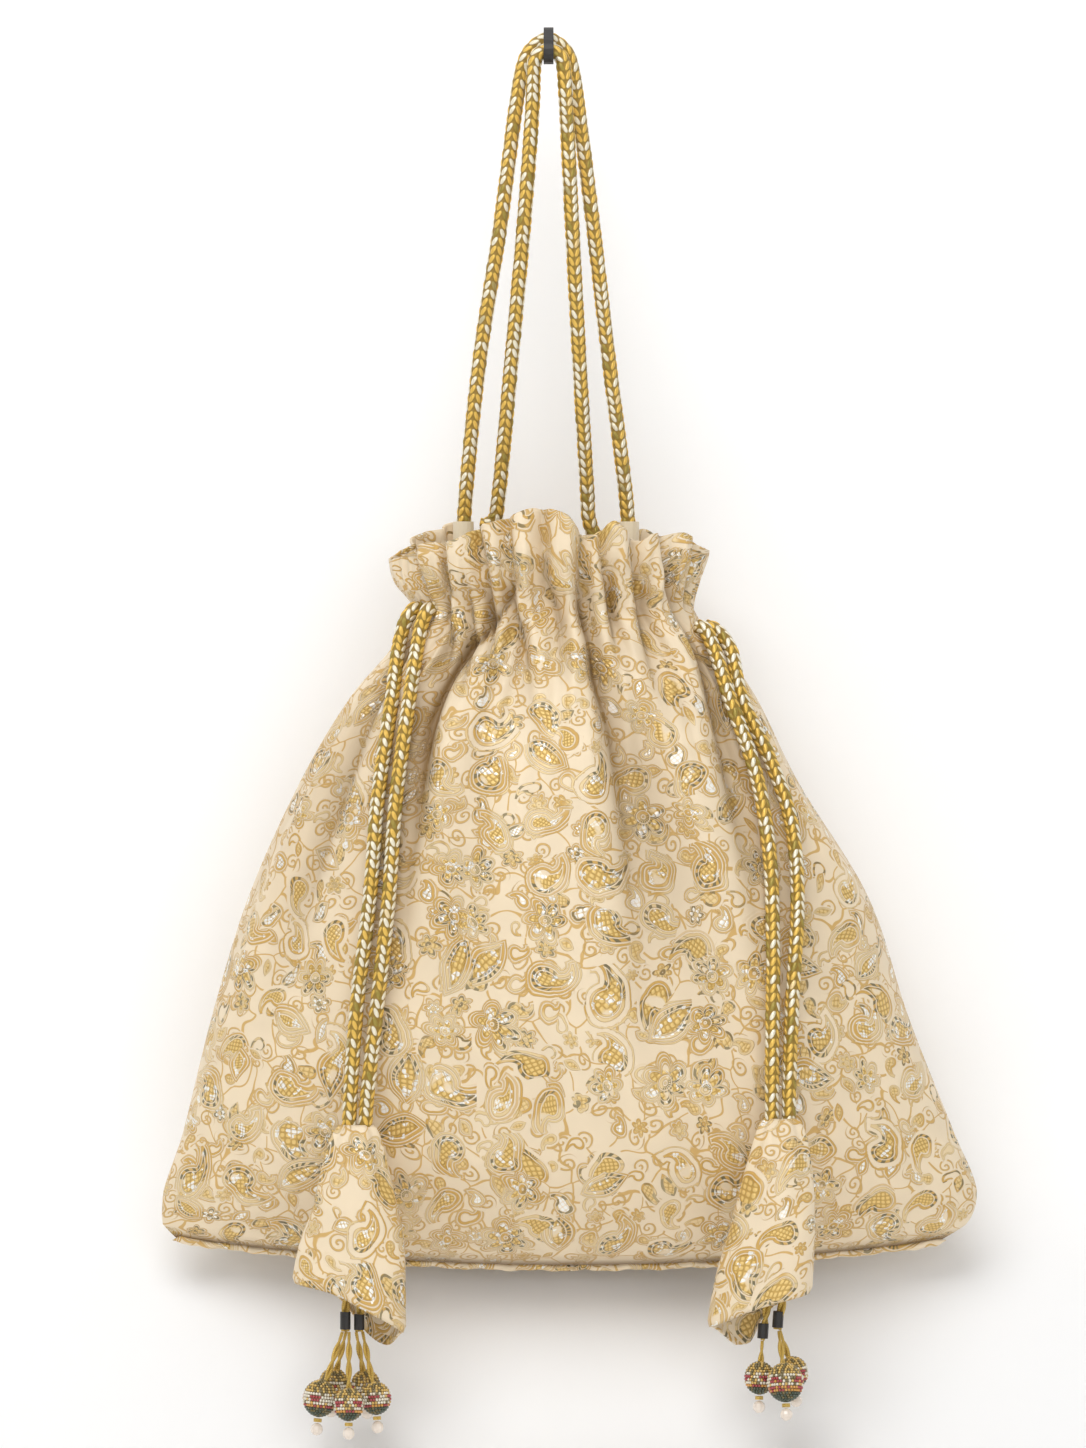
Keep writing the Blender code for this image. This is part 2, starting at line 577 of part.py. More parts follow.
def handle_band(collection, black):
    """A closed strip round both cords at the handle's bend."""
    low = Vector(BAND_CENTRES[0])
    high = Vector(BAND_CENTRES[1])
    lean = math.atan2(high.y - low.y, high.x - low.x)
    curve = bpy.data.curves.new("handle_band", "CURVE")
    curve.dimensions = "2D"
    curve.fill_mode = "BOTH"
    curve.extrude = BAND_WIDTH / 2 * MM
    for radius in (BAND_ROOM + BAND_CLOTH, BAND_ROOM):
        outline = []
        for centre, start in ((high, lean - math.pi / 2), (low, lean + math.pi / 2)):
            for n in range(BAND_ARC + 1):
                angle = start + math.pi * n / BAND_ARC
                outline.append(centre + Vector((math.cos(angle), math.sin(angle))) * radius)
        line = curve.splines.new("POLY")
        line.points.add(len(outline) - 1)
        line.use_cyclic_u = True
        for point, place in zip(line.points, outline):
            point.co = (place.x * MM, place.y * MM, 0.0, 1.0)
    made = bpy.data.objects.new("handle_band", curve)
    made.matrix_world = Matrix(((0, 0, 1, BAND_PLACE * MM), (1, 0, 0, 0), (0, 1, 0, 0), (0, 0, 0, 1)))
    made.data.materials.append(black)
    collection.objects.link(made)
    return made


def bell(side, collection, cloth):
    """A square of cloth folded round the drawcord's ends as a cone with a slanting mouth."""
    form = BELLS[side]

    def point(angle, share):
        middle, wide, deep, y = along(form["sections"], share)
        back = math.sin(angle) > 0
        end_middle, end_wide = along(form["sections"], 1.0)[:2]
        edge = along(form["back_rim" if back else "front_rim"], end_middle + end_wide * math.cos(angle))[0]
        drop = form["top"] + (edge - form["top"]) * share
        crease = form["crease"] * smooth(*BELL_CREASE_SPAN, share)
        crease *= math.exp(-((math.degrees(angle) - BELL_CREASE_ANGLE) / BELL_CREASE_WIDTH) ** 2)
        return Vector((middle + wide * math.cos(angle), y + (deep - crease) * math.sin(angle), -drop)) * MM

    shape = loft([ring(point, BELL_ROUND, share) for share in BELL_SHARES])
    return thicken(object_from(side + "_bell", shape, collection, cloth), CLOTH)


def rod(name, start, end, diameter, collection, material, sides=ROD_SIDES):
    """A straight round piece between two points."""
    start, end = Vector(start) * MM, Vector(end) * MM
    shape = bmesh.new()
    bmesh.ops.create_cone(
        shape, cap_ends=True, segments=sides, radius1=diameter / 2 * MM, radius2=diameter / 2 * MM,
        depth=(end - start).length,
    )
    turn = (end - start).to_track_quat("Z", "Y").to_matrix().to_4x4()
    bmesh.ops.transform(shape, matrix=Matrix.Translation((start + end) / 2) @ turn, verts=shape.verts)
    return object_from(name, shape, collection, material)


def bead(name, centre, radius, tall, axis, collection, material, faces):
    """A round bead, tall along its axis, with faces round it and from end to end."""
    shape = bmesh.new()
    bmesh.ops.create_uvsphere(shape, u_segments=faces[0], v_segments=faces[1], radius=radius * MM)
    stretch = Matrix.Diagonal((1, 1, tall, 1))
    turn = Vector(axis).to_track_quat("Z", "Y").to_matrix().to_4x4()
    place = Matrix.Translation(Vector(centre) * MM)
    bmesh.ops.transform(shape, matrix=place @ turn @ stretch, verts=shape.verts)
    return object_from(name, shape, collection, material)


def pivot(name, place, collection, parent=None):
    """The empty on a moving body's joint axis."""
    empty = bpy.data.objects.new(name, None)
    empty.empty_display_size = 5 * MM
    collection.objects.link(empty)
    here = Matrix.Translation(Vector(place) * MM)
    if parent:
        empty.parent = parent
        empty.matrix_parent_inverse = parent.matrix_basis.inverted()
    empty.matrix_basis = here
    return empty


def hang(pieces, empty):
    for piece in pieces:
        piece.parent = empty
        piece.matrix_parent_inverse = empty.matrix_basis.inverted()


def drop_pieces(name, top, centre, radius, collection, colours):
    """A beaded ball on its thread, with the cap and the pearl under it."""
    top, centre = Vector(top), Vector(centre)
    reach = radius * BALL_TALL
    lean = (centre - top).normalized()
    below = (lean + Vector((0, 0, -2))).normalized()
    cap_top = centre + below * (reach + SEAT)
    cap_end = cap_top + below * CAP_HEIGHT
    pearl = cap_end + below * (SEAT + PEARL / 2)
    thread_end = centre - below * (reach + 2 * SEAT)
    return [
        rod(name + "_thread", top, thread_end, THREAD, collection, colours["gold"], THREAD_SIDES),
        bead(name + "_ball", centre, radius, BALL_TALL, -below, collection, colours["beads"], BALL_FACES),
        rod(name + "_cap", cap_top, cap_end, CAP, collection, colours["gold"]),
        bead(name + "_pearl", pearl, PEARL / 2, 1.0, below, collection, colours["pearl"], PEARL_FACES),
    ]


def tassel(side, collection, colours):
    """What hangs from one slit: two strands, their bell, the thread stems with their bindings, and the drops."""
    slit, _, _ = neck_slit(side)
    swing = pivot(side + "_tassel", slit, collection)
    pieces = []
    for part in ("outer", "inner"):
        route = smooth_route(STRAND_ROUTES[side, part], STRAND_SPACING)
        pieces.append(tube(f"{side}_drawcord_{part}", route, CORD, collection, colours["braid"]))
    pieces.append(bell(side, collection, colours["brocade"]))
    for n, (start, middle, end) in enumerate(BINDINGS[side], 1):
        pieces.append(rod(f"{side}_stem_{n}", start, middle, STEM, collection, colours["gold"], THREAD_SIDES))
        below = (Vector(end) - Vector(middle)).normalized() * SEAT
        pieces.append(rod(f"{side}_binding_{n}", Vector(middle) + below, end, BINDING, collection, colours["black"]))
    hang(pieces, swing)
    for n, (top, centre, radius) in enumerate(DROPS[side], 1):
        name = f"{side}_drop_{n}"
        hang(drop_pieces(name, top, centre, radius, collection, colours), pivot(name, top, collection, swing))


def main():
    for thing in list(bpy.data.objects):
        bpy.data.objects.remove(thing, do_unlink=True)
    collection = bpy.data.collections.new("potli_bag")
    bpy.context.scene.collection.children.link(collection)
    colours = {
        "brocade": material_of("brocade", (0.74, 0.58, 0.34), 0.55),
        "satin": material_of("lining_satin", (0.80, 0.68, 0.47), 0.5),
        "braid": material_of("braided_cord", (0.66, 0.50, 0.16), 0.45, 0.3),
        "gold": material_of("gold_thread", (0.62, 0.42, 0.10), 0.35, 0.6),
        "beads": material_of("seed_beads", (0.45, 0.30, 0.12), 0.3),
        "pearl": material_of("pearl", (0.86, 0.80, 0.72), 0.25),
        "black": material_of("black_sleeve", (0.012, 0.011, 0.010), 0.45),
    }
    outer_bag(collection, colours["brocade"])
    lining(collection, colours["satin"])
    channel_facing(collection, colours["satin"])
    bottom_piping(collection, colours["brocade"])
    for name, route in (("outer", HANDLE_OUTER_ROUTE), ("inner", HANDLE_INNER_ROUTE)):
        tube("handle_cord_" + name, smooth_route(route, HANDLE_SPACING), CORD, collection, colours["braid"])
    handle_band(collection, colours["black"])
    for side in ("left", "right"):
        handle_tab(side, collection, colours["brocade"])
        neck_loop(side, collection, colours["braid"])
        tassel(side, collection, colours)


main()
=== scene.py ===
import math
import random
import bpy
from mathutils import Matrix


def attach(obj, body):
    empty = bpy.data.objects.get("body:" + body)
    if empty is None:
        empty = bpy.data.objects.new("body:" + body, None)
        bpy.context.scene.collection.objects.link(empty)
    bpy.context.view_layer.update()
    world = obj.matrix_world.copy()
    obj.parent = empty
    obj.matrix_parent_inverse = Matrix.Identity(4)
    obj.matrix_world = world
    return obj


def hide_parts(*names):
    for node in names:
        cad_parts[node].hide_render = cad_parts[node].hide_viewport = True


bl_info = {
    "name": "Potli Bag",
    "version": (1, 0, 0),
    "blender": (4, 5, 0),
    "location": "View3D > Sidebar > Potli Bag",
    "description": "Dresses a drawstring potli bag in gathered brocade, braided cords, cloth bells and beads",
    "category": "Add Mesh",
}

from functools import partialmethod

import bmesh
import bpy
import numpy as np
from bpy.props import FloatProperty, FloatVectorProperty, IntProperty, PointerProperty
from mathutils import Matrix, Vector

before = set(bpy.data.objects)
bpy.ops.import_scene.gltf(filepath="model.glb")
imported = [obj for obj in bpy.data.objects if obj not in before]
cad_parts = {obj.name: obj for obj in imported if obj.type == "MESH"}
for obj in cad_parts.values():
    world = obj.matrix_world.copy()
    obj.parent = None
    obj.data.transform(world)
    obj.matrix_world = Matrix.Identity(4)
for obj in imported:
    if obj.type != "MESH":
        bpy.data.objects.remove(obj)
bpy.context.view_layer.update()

MM = 0.001

# The pouch at rising drops below the hang point: left edge, right edge, front depth, back depth, lens shape.
PROFILE = (
    (148, -52.0, 53.0, 26.0, 25.0, 1.00),
    (160, -51.5, 52.5, 26.0, 25.0, 1.00),
    (169, -49.5, 49.5, 23.0, 23.0, 1.00),
    (178, -43.5, 47.5, 20.0, 20.0, 1.00),
    (190, -50.0, 56.5, 24.0, 23.0, 1.00),
    (206, -63.5, 67.5, 31.0, 29.0, 1.00),
    (233, -79.5, 81.0, 40.0, 37.0, 1.02),
    (271, -96.5, 104.0, 47.0, 43.0, 1.05),
    (310, -108.5, 117.0, 49.0, 44.0, 1.10),
    (348, -118.0, 132.0, 41.0, 37.0, 1.16),
    (366, -124.0, 139.0, 29.0, 26.0, 1.20),
    (376, -124.5, 136.0, 16.0, 14.5, 1.20),
    (381, -120.0, 128.0, 4.0, 4.0, 1.00),
)
NECK_DROP = 178.0
SEAM_DROP = 381.0
SEAM_SAG = 8.5
SAG_START = 300.0
BODY_MIDDLE = 7.0

# The mouth's edge as seen from the front: x, drop.
FRONT_RIM = (
    (-53, 163), (-40, 157), (-29, 156), (-23, 152), (-15, 150), (-4.5, 146), (6, 148), (11, 154), (15, 154.5),
    (21, 150), (25, 153), (30, 156), (34, 154), (44, 153.5), (53, 159),
)
BACK_RIM = (
    (-53, 163), (-46, 156), (-36, 151), (-29, 149), (-22, 154), (-10, 155), (0, 156), (12, 157), (22, 154),
    (31, 151), (38, 156), (46, 155), (53, 159),
)

# Each crease of the gathers: x, drop, depth of the fold, half width of the fold.
FRONT_FOLDS = (
    ((-43, 162, 3.0, 4.0), (-38, 178, 3.5, 3.0), (-44, 190, 3.0, 4.0), (-58, 215, 2.6, 9.0),
     (-72, 255, 1.6, 14.0), (-82, 300, 0.0, 18.0)),
    ((-34, 154, 3.0, 4.0), (-31, 176, 4.0, 2.6), (-31, 188, 3.0, 3.0), (-36, 204, 0.0, 5.0)),
    ((-23, 149, 3.5, 4.0), (-19, 168, 4.0, 2.8), (-17, 184, 3.5, 2.8), (-16, 202, 0.0, 4.0)),
    ((-26, 166, 0.0, 2.5), (-24, 180, 3.0, 2.4), (-24, 192, 3.0, 3.0), (-27, 208, 0.0, 4.0)),
    ((-8, 166, 0.0, 2.5), (-16, 183, 4.5, 2.8), (-23, 190, 5.0, 4.0), (-31, 201, 6.0, 5.5),
     (-36, 214, 6.0, 8.0), (-40, 236, 4.2, 12.0), (-44, 268, 2.0, 17.0), (-47, 310, 0.0, 22.0)),
    ((-12, 152, 3.0, 3.6), (-10, 176, 4.0, 2.6), (-7, 190, 2.8, 4.0), (-4, 218, 0.0, 9.0)),
    ((-1, 150, 3.5, 4.0), (0, 168, 4.0, 2.8), (3.5, 180, 4.0, 2.6), (5, 204, 0.0, 5.0)),
    ((11, 152, 3.5, 3.2), (10, 177, 4.5, 2.6), (13, 189, 5.0, 3.2), (15, 202, 5.0, 5.0), (19, 216, 4.0, 8.0),
     (23, 240, 3.2, 13.0), (27, 282, 1.5, 18.0), (30, 325, 0.0, 22.0)),
    ((17, 158, 2.5, 3.0), (19, 172, 4.0, 2.6), (21, 186, 2.8, 3.0), (23, 200, 0.0, 4.0)),
    ((27, 154, 3.5, 4.0), (29, 176, 4.0, 2.8), (32, 192, 2.8, 4.0), (38, 218, 0.0, 9.0)),
    ((37, 154, 3.0, 3.6), (40, 178, 4.0, 2.8), (46, 188, 4.5, 3.5), (51, 200, 3.6, 6.0), (57, 228, 2.8, 11.0),
     (64, 265, 1.6, 16.0), (70, 305, 0.0, 20.0)),
    ((48, 160, 2.5, 3.4), (45, 177, 3.0, 2.6), (53, 190, 2.0, 4.0), (62, 210, 0.0, 7.0)),
)
BACK_FOLD_COUNT = 11
BACK_FOLD_DEPTH = 4.2
BACK_FOLD_REACH = 300.0

# Each crease of the back: drop, share of its depth, half width.
BACK_FOLD_ROWS = ((154, 0.7, 3.8), (178, 1.0, 2.8), (192, 0.8, 4.0), (215, 0.5, 8.0))
BACK_FOLD_END = 16.0

# How deep a fold can be, how pointed, how much deeper than in the tables and how it notches the mouth's edge.
FOLD_DEEPEST = 11.0
FOLD_POINT = 1.2
FOLD_GAIN = 1.75
RIM_NOTCH = 0.28

# The folds on either side of this x are steeper on the side towards it, where the cloth swells beside them.
FOLD_TURN = 2.0
STEEPER = 2.0
PUFF = 0.5
PUFF_OFF = 1.3

LINING_ROOM = 2.4
LINING_NECK_ROOM = 6.5
LINING_TOP = 187.5
LINING_END = 371.0
LINING_ROUND = 120
LINING_ROWS = 60

# Where the drawcords leave the neck: degrees round it from its right edge by the back, and drop.
SLIT_ANGLES = {"left": 206.0, "right": 345.0}
EXIT_DROPS = {"left": 177.5, "right": 183.5}

# Routes of the cords' centrelines.
HANDLE_ROUTES = {
    "outer": (
        (-27.2, 13.4, -152.0), (-26.4, 13.2, -140.0), (-21.8, 10.0, -96.0), (-15.2, 5.6, -53.8),
        (-9.9, 3.2, -14.0), (-8.2, 2.9, -4.0), (-5.6, 2.6, 2.6), (0.2, 2.2, 6.5), (6.2, 3.0, 2.6),
        (8.4, 3.6, -4.0), (9.9, 4.0, -14.0), (15.0, 6.2, -53.8), (20.0, 10.2, -96.0), (25.6, 13.2, -140.0),
        (26.6, 13.4, -152.0),
    ),
    "inner": (
        (-22.0, 13.4, -150.4), (-19.6, 13.4, -150.2), (-16.9, 13.0, -148.0), (-16.0, 12.4, -143.0),
        (-11.4, 6.0, -96.0), (-7.5, 0.6, -53.8), (-4.6, -2.0, -14.0), (-4.3, -2.3, -4.0), (-3.7, -2.4, -0.4),
        (-2.1, -2.5, 1.6), (0.6, -2.5, 2.4), (3.3, -2.5, 1.6), (4.9, -2.4, -0.4), (5.5, -2.3, -4.0),
        (6.1, -2.0, -14.0), (8.1, 0.2, -53.8), (10.4, 5.6, -96.0), (13.1, 12.0, -140.0), (13.6, 12.6, -148.0),
        (15.4, 13.2, -153.2), (18.4, 13.4, -155.0), (21.2, 13.4, -155.3),
    ),
}
STRAND_ROUTES = {
    ("left", "outer"): (
        (-40.9, -7.0, -177.5), (-43.4, -9.6, -178.6), (-45.9, -11.0, -183.0), (-47.6, -12.4, -190.0),
        (-49.6, -21.0, -207.0), (-53.8, -33.5, -239.0), (-56.2, -40.5, -271.0), (-60.0, -44.0, -303.0),
        (-62.4, -45.6, -338.0), (-63.0, -47.5, -362.0), (-63.2, -49.0, -386.0),
    ),
    ("left", "inner"): (
        (-36.9, -10.6, -177.5), (-38.4, -13.2, -178.6), (-40.2, -15.0, -183.0), (-41.5, -17.4, -190.0),
        (-43.9, -25.8, -207.0), (-48.0, -35.5, -239.0), (-50.2, -42.5, -271.0), (-53.6, -45.5, -303.0),
        (-57.2, -46.5, -338.0), (-57.8, -48.0, -362.0), (-58.0, -49.0, -386.0),
    ),
    ("right", "outer"): (
        (50.9, -3.3, -183.5), (54.0, -5.2, -184.5), (58.8, -9.6, -190.5), (62.4, -16.4, -207.0),
        (71.4, -18.8, -226.6), (77.8, -24.4, -245.8), (79.6, -34.0, -271.4), (77.6, -41.5, -303.4),
        (76.4, -45.0, -338.0), (76.6, -47.5, -362.0), (76.8, -49.0, -386.0),
    ),
    ("right", "inner"): (
        (48.1, -7.9, -183.5), (50.6, -9.8, -184.5), (53.4, -12.4, -190.5), (58.8, -20.0, -208.0),
        (66.4, -25.0, -230.0), (70.6, -32.2, -255.0), (71.6, -40.0, -287.0), (71.2, -44.5, -310.0),
        (71.0, -45.8, -338.0), (71.2, -47.5, -362.0), (71.4, -49.0, -386.0),
    ),
}

# A bell's sections from its top to its rim: share of its height, middle x, half width, half depth, y.
# Its rims: x, drop. Its crease runs down its front: depth here, direction and width in degrees below.
BELLS = {
    "left": {
        "top": 341.5,
        "crease": 2.2,
        "sections": (
            (0.0, -60.0, 6.8, 4.2, -46.4), (0.12, -60.1, 8.6, 5.6, -47.2), (0.3, -60.0, 11.4, 7.4, -48.2),
            (0.5, -60.0, 14.0, 8.8, -49.0), (0.75, -61.4, 16.6, 9.6, -49.6), (1.0, -61.9, 18.0, 9.8, -50.0),
        ),
        "front_rim": ((-80, 391), (-66, 395), (-52, 402), (-44, 407)),
        "back_rim": ((-80, 391), (-66, 397), (-57, 408), (-50, 411.5), (-44, 407)),
    },
    "right": {
        "top": 339.5,
        "crease": 2.0,
        "sections": (
            (0.0, 73.8, 6.8, 4.2, -46.0), (0.12, 73.6, 8.4, 5.6, -46.9), (0.3, 72.6, 11.0, 7.4, -47.9),
            (0.5, 70.8, 13.2, 8.8, -48.8), (0.75, 68.6, 15.4, 9.6, -49.5), (1.0, 67.4, 16.6, 9.8, -50.0),
        ),
        "front_rim": ((50.8, 405), (60, 401), (72, 397), (84, 394)),
        "back_rim": ((50.8, 405), (59, 411.5), (64, 411), (70, 401), (84, 394)),
    },
}
BELL_FOLD = 250
BELL_FOLD_WIDE = 26
BELL_ROUND = 96
BELL_ROWS = 60

# Each beaded drop: its thread's top, its ball's centre, its ball's radius.
DROPS = {
    "left": (
        ((-64.5, -50.8, -406.6), (-71.4, -55.0, -427.0), 5.6),
        ((-62.4, -51.1, -406.6), (-62.2, -61.0, -428.3), 5.0),
        ((-58.2, -48.8, -406.7), (-53.9, -54.8, -427.0), 5.0),
        ((-63.4, -49.0, -406.6), (-67.6, -44.4, -423.5), 4.8),
        ((-60.2, -49.9, -406.7), (-57.4, -44.6, -424.0), 4.8),
    ),
    "right": (
        ((67.8, -50.9, -409.3), (66.9, -53.0, -420.8), 5.0),
        ((73.0, -51.2, -406.3), (74.6, -61.6, -421.3), 5.9),
        ((73.4, -48.9, -406.3), (77.6, -49.2, -419.5), 4.9),
    ),
}
BALL_TALL = 1.08

# Each thread stem from the cord's end through its black sleeve.
BINDINGS = {
    "left": (
        ((-63.3, -49.4, -386.2), (-63.6, -50.2, -406.3)),
        ((-58.0, -49.2, -386.2), (-59.3, -49.4, -406.5)),
    ),
    "right": (
        ((71.0, -49.4, -386.2), (67.9, -50.6, -409.1)),
        ((76.4, -49.4, -386.2), (72.6, -50.0, -405.7)),
    ),
}

# Twisted thread: thickness of one ply, length of one turn, length of the thin top, points round a ply.
STEM_PLY = 1.45
THREAD_PLY = 1.06
THREAD_PITCH = 13.0
THREAD_TAPER = 6.0
PLY_ROUND = 8

# The braid: points round it, columns of stitches, its points' spacing, the stitches' slant and height,
# and how many stitches apart the patterns of two cords start.
PLAIT_ROUND = 36
PLAIT_COLUMNS = 6
PLAIT_STEP = 0.5
PLAIT_SLANT = 0.75
PLAIT_RISE = 0.42
PLAIT_START = 37

# The braid's thread colours.
WHITE = (0.97, 0.92, 0.74)
YELLOW = (0.88, 0.57, 0.12)
DEEP = (0.42, 0.23, 0.02)
OLIVE = (0.36, 0.28, 0.06)
BETWEEN = (0.31, 0.19, 0.025)

# The seed beads' colours.
BEAD_WHITE = (0.80, 0.74, 0.60)
BEAD_RED = (0.38, 0.008, 0.018)
BEAD_AMBER = (0.66, 0.30, 0.02)
BEAD_GREEN = (0.015, 0.040, 0.008)
BEAD_OLIVE = (0.16, 0.115, 0.015)
BEAD_GOLD = (0.66, 0.42, 0.08)
BEAD_CORE = (0.20, 0.13, 0.03)

# The edge along the seam, from x to x, with its points along and round.
PIPING_ENDS = (-121.0, 129.0)
PIPING_POINTS = 240
PIPING_ROUND = 16

# The pouch: rows of points in the ruffle, and how its rows bunch to the seam.
RUFFLE_ROWS = 34
ROW_BUNCH = 0.92

# The brocade's layers, in millimetres: spacing of the motifs, shift of their places, scale or looseness.
BIG_MOTIFS = (17.5, 11.0, 1.22)
SMALL_MOTIFS = (9.6, 37.0, 0.56)
SCROLLS = (9.5, 71.0, 0.8)
VINE_CELLS = 12.0
VINE_SWAY = 13
MOTIF_SWAY = 4.5
CLOUD = 0.07
SCROLL_PITCH = 1.9
FILLING_PITCH = 1.2
THREADS = 9.5

# The paper sweep behind and below the bag: drop, how far behind the hang point.
SWEEP = (
    (-1200, 48), (0, 48), (325, 48), (345, 47), (362, 42), (376, 32), (386, 22), (396, 11), (410, -3),
    (430, -19), (446, -33), (458, -52), (466, -88), (470, -140), (470.5, -500), (471, -2200),
)

# The paper's half width in metres, its whiteness, the wall's glow and the heights between which it fades.
PAPER_HALF = 1.6
PAPER = 0.92
WALL_GLOW = 0.11
GLOW_FADE = (-0.40, -0.33)

# The camera's distance from the bag's front in metres, and the height and middle of what it sees there.
CAMERA_AWAY = 2.0
SENSOR = 36.0
FIELD_HEIGHT = 0.4634
FIELD_MIDDLE = (-0.0013, -0.215)
FIELD_FRONT = 0.02

# The world's light, where the lamps point, and each lamp's place, size and power.
WORLD_LIGHT = 0.38
AIM = (0, 0, -0.28)
LAMPS = {
    "key": ((-0.28, -0.80, 0.80), 1.15, 10.9),
    "fill": ((0.4, -1.7, 0.0), 1.5, 6.6),
}


def length(name, description, millimetres):
    return FloatProperty(name=name, description=description, default=millimetres * MM, unit="LENGTH")


def tint(name, description, value):
    return FloatVectorProperty(name=name, description=description, subtype="COLOR", default=value)


class POTLI_PG_sizes(bpy.types.PropertyGroup):
    """The dressed bag's sizes."""

    cloth: length("Cloth", "Thickness of the brocade", 0.8)
    satin: length("Satin", "Thickness of the lining", 0.6)
    cord: length("Cord", "Diameter of the braided cords", 4.8)
    plait: length("Plait", "Length of one stitch of the braid", 2.85)
    seed: length("Seed bead", "Diameter of a seed bead", 0.95)
    around: IntProperty(name="Round", description="Points round the pouch", default=384, min=32)
    rows: IntProperty(name="Rows", description="Rows of points down the pouch", default=122, min=16)


class POTLI_PG_colours(bpy.types.PropertyGroup):
    """The dressed bag's colours, as linear values."""

    ground: tint("Ground", "Brocade's satin ground", (0.86, 0.71, 0.50))
    line: tint("Line", "Gold outlines", (0.60, 0.345, 0.06))
    fill: tint("Fill", "Gold fillings", (0.84, 0.58, 0.17))
    seam: tint("Seam", "Between the stitches of a filling", (0.46, 0.26, 0.045))
    # Silver thread, whose colour also paints glints on the gold fillings.
    silver_and_glint: tint("Silver", "Silver picks", (0.97, 0.96, 0.91))
    # Painted highlight colour along the tops of the gold lines.
    painted_highlight: tint("Crest", "Light top of the gold lines", (0.93, 0.82, 0.55))
    # Colour of the painted shade laid over the brocade in its folds, its fine gathers and at the seam.
    shade: tint("Shade", "Cloth deep in a fold", (0.19, 0.095, 0.014))
    slate: tint("Slate", "Dark outlines", (0.13, 0.12, 0.065))
    lining: tint("Lining", "Satin lining", (0.86, 0.75, 0.55))
    pearl: tint("Pearl", "Pearls", (0.78, 0.66, 0.55))
    black: tint("Black", "Sleeves and band", (0.012, 0.010, 0.009))
    gold: tint("Gold", "Gold thread", (0.86, 0.58, 0.14))


class Wire:
    """A shader socket that Python's operators and a few named functions work on."""

    def __init__(self, shader, socket):
        self.shader = shader
        self.socket = socket

    def apply(self, operation, *others):
        return self.shader.math(operation, self, *others)

    def __rsub__(self, other):
        return self.shader.math("SUBTRACT", other, self)

    __add__ = partialmethod(apply, "ADD")
    __radd__ = __add__
    __sub__ = partialmethod(apply, "SUBTRACT")
    __mul__ = partialmethod(apply, "MULTIPLY")
    __truediv__ = partialmethod(apply, "DIVIDE")
    __abs__ = partialmethod(apply, "ABSOLUTE")
    least = partialmethod(apply, "MINIMUM")
    most = partialmethod(apply, "MAXIMUM")


class Shader:
    """Builds one material's nodes."""

    def __init__(self, name, roughness, metallic=0.0, **fixed):
        self.material = bpy.data.materials.new(name)
        self.material.use_nodes = True
        self.tree = self.material.node_tree
        self.surface = next(n for n in self.tree.nodes if n.type == "BSDF_PRINCIPLED")
        self.surface.inputs["Roughness"].default_value = roughness
        self.surface.inputs["Metallic"].default_value = metallic
        for socket, value in fixed.items():
            self.surface.inputs[socket.replace("_", " ")].default_value = value

    def node(self, kind, settings=None, inputs=None, output=0):
        made = self.tree.nodes.new(kind)
        for key, value in (settings or {}).items():
            setattr(made, key, value)
        for key, value in (inputs or {}).items():
            self.feed(made.inputs[key], value)
        return Wire(self, made.outputs[output])

    def feed(self, socket, value):
        if isinstance(value, Wire):
            self.tree.links.new(value.socket, socket)
        elif socket.type == "RGBA" and len(value) == 3:
            socket.default_value = (*value, 1.0)
        else:
            socket.default_value = value

    def math(self, operation, *values):
        return self.node("ShaderNodeMath", {"operation": operation}, dict(enumerate(values)))

    def set(self, name, value):
        self.feed(self.surface.inputs[name], value)

    def uv(self, name):
        return self.parts(self.node("ShaderNodeUVMap", {"uv_map": name}))[:2]

    def vector(self, x, y, z=0.0):
        return self.node("ShaderNodeCombineXYZ", None, {0: x, 1: y, 2: z})

    def parts(self, vector):
        made = self.tree.nodes.new("ShaderNodeSeparateXYZ")
        self.feed(made.inputs[0], vector)
        return [Wire(self, socket) for socket in made.outputs]

    def step(self, value, low, high):
        """0 where value is below low, 1 above high and an S between."""
        made = self.tree.nodes.new("ShaderNodeMapRange")
        made.interpolation_type = "SMOOTHSTEP"
        self.feed(made.inputs["Value"], value)
        self.feed(made.inputs["From Min"], low)
        self.feed(made.inputs["From Max"], high)
        return Wire(self, made.outputs[0])

    def line(self, distance, width):
        """1 along where distance is zero, for a line of that width."""
        return 1 - self.step(abs(distance), width * 0.35, width * 0.65)

    def blend(self, share, first, second):
        made = self.tree.nodes.new("ShaderNodeMix")
        made.data_type = "RGBA"
        self.feed(made.inputs["Factor"], share)
        self.feed(made.inputs[6], first)
        self.feed(made.inputs[7], second)
        return Wire(self, made.outputs[2])

    def noise(self, vector, scale, detail):
        inputs = {"Vector": vector, "Scale": scale, "Detail": detail, "Roughness": 0.5}
        return self.node("ShaderNodeTexNoise", {"noise_dimensions": "2D"}, inputs)

    def bump(self, height, distance, strength):
        inputs = {"Height": height, "Distance": distance, "Strength": strength}
        return self.node("ShaderNodeBump", None, inputs)


def scattered(shader, u, v, size, shift, jitter):
    """Coordinates round the nearest of points scattered about size apart, and its three random numbers."""
    where = shader.vector(u + shift, v + shift * 0.37)
    made = shader.tree.nodes.new("ShaderNodeTexVoronoi")
    made.voronoi_dimensions = "2D"
    made.feature = "F1"
    shader.feed(made.inputs["Vector"], where)
    shader.feed(made.inputs["Scale"], 1 / size)
    shader.feed(made.inputs["Randomness"], jitter)
    away = shader.node("ShaderNodeVectorMath", {"operation": "SUBTRACT"},
                       {0: where, 1: Wire(shader, made.outputs["Position"])})
    x, y, _ = shader.parts(away)
    colour = shader.tree.nodes.new("ShaderNodeSeparateColor")
    shader.feed(colour.inputs[0], Wire(shader, made.outputs["Color"]))
    return x, y, [Wire(shader, socket) for socket in colour.outputs]


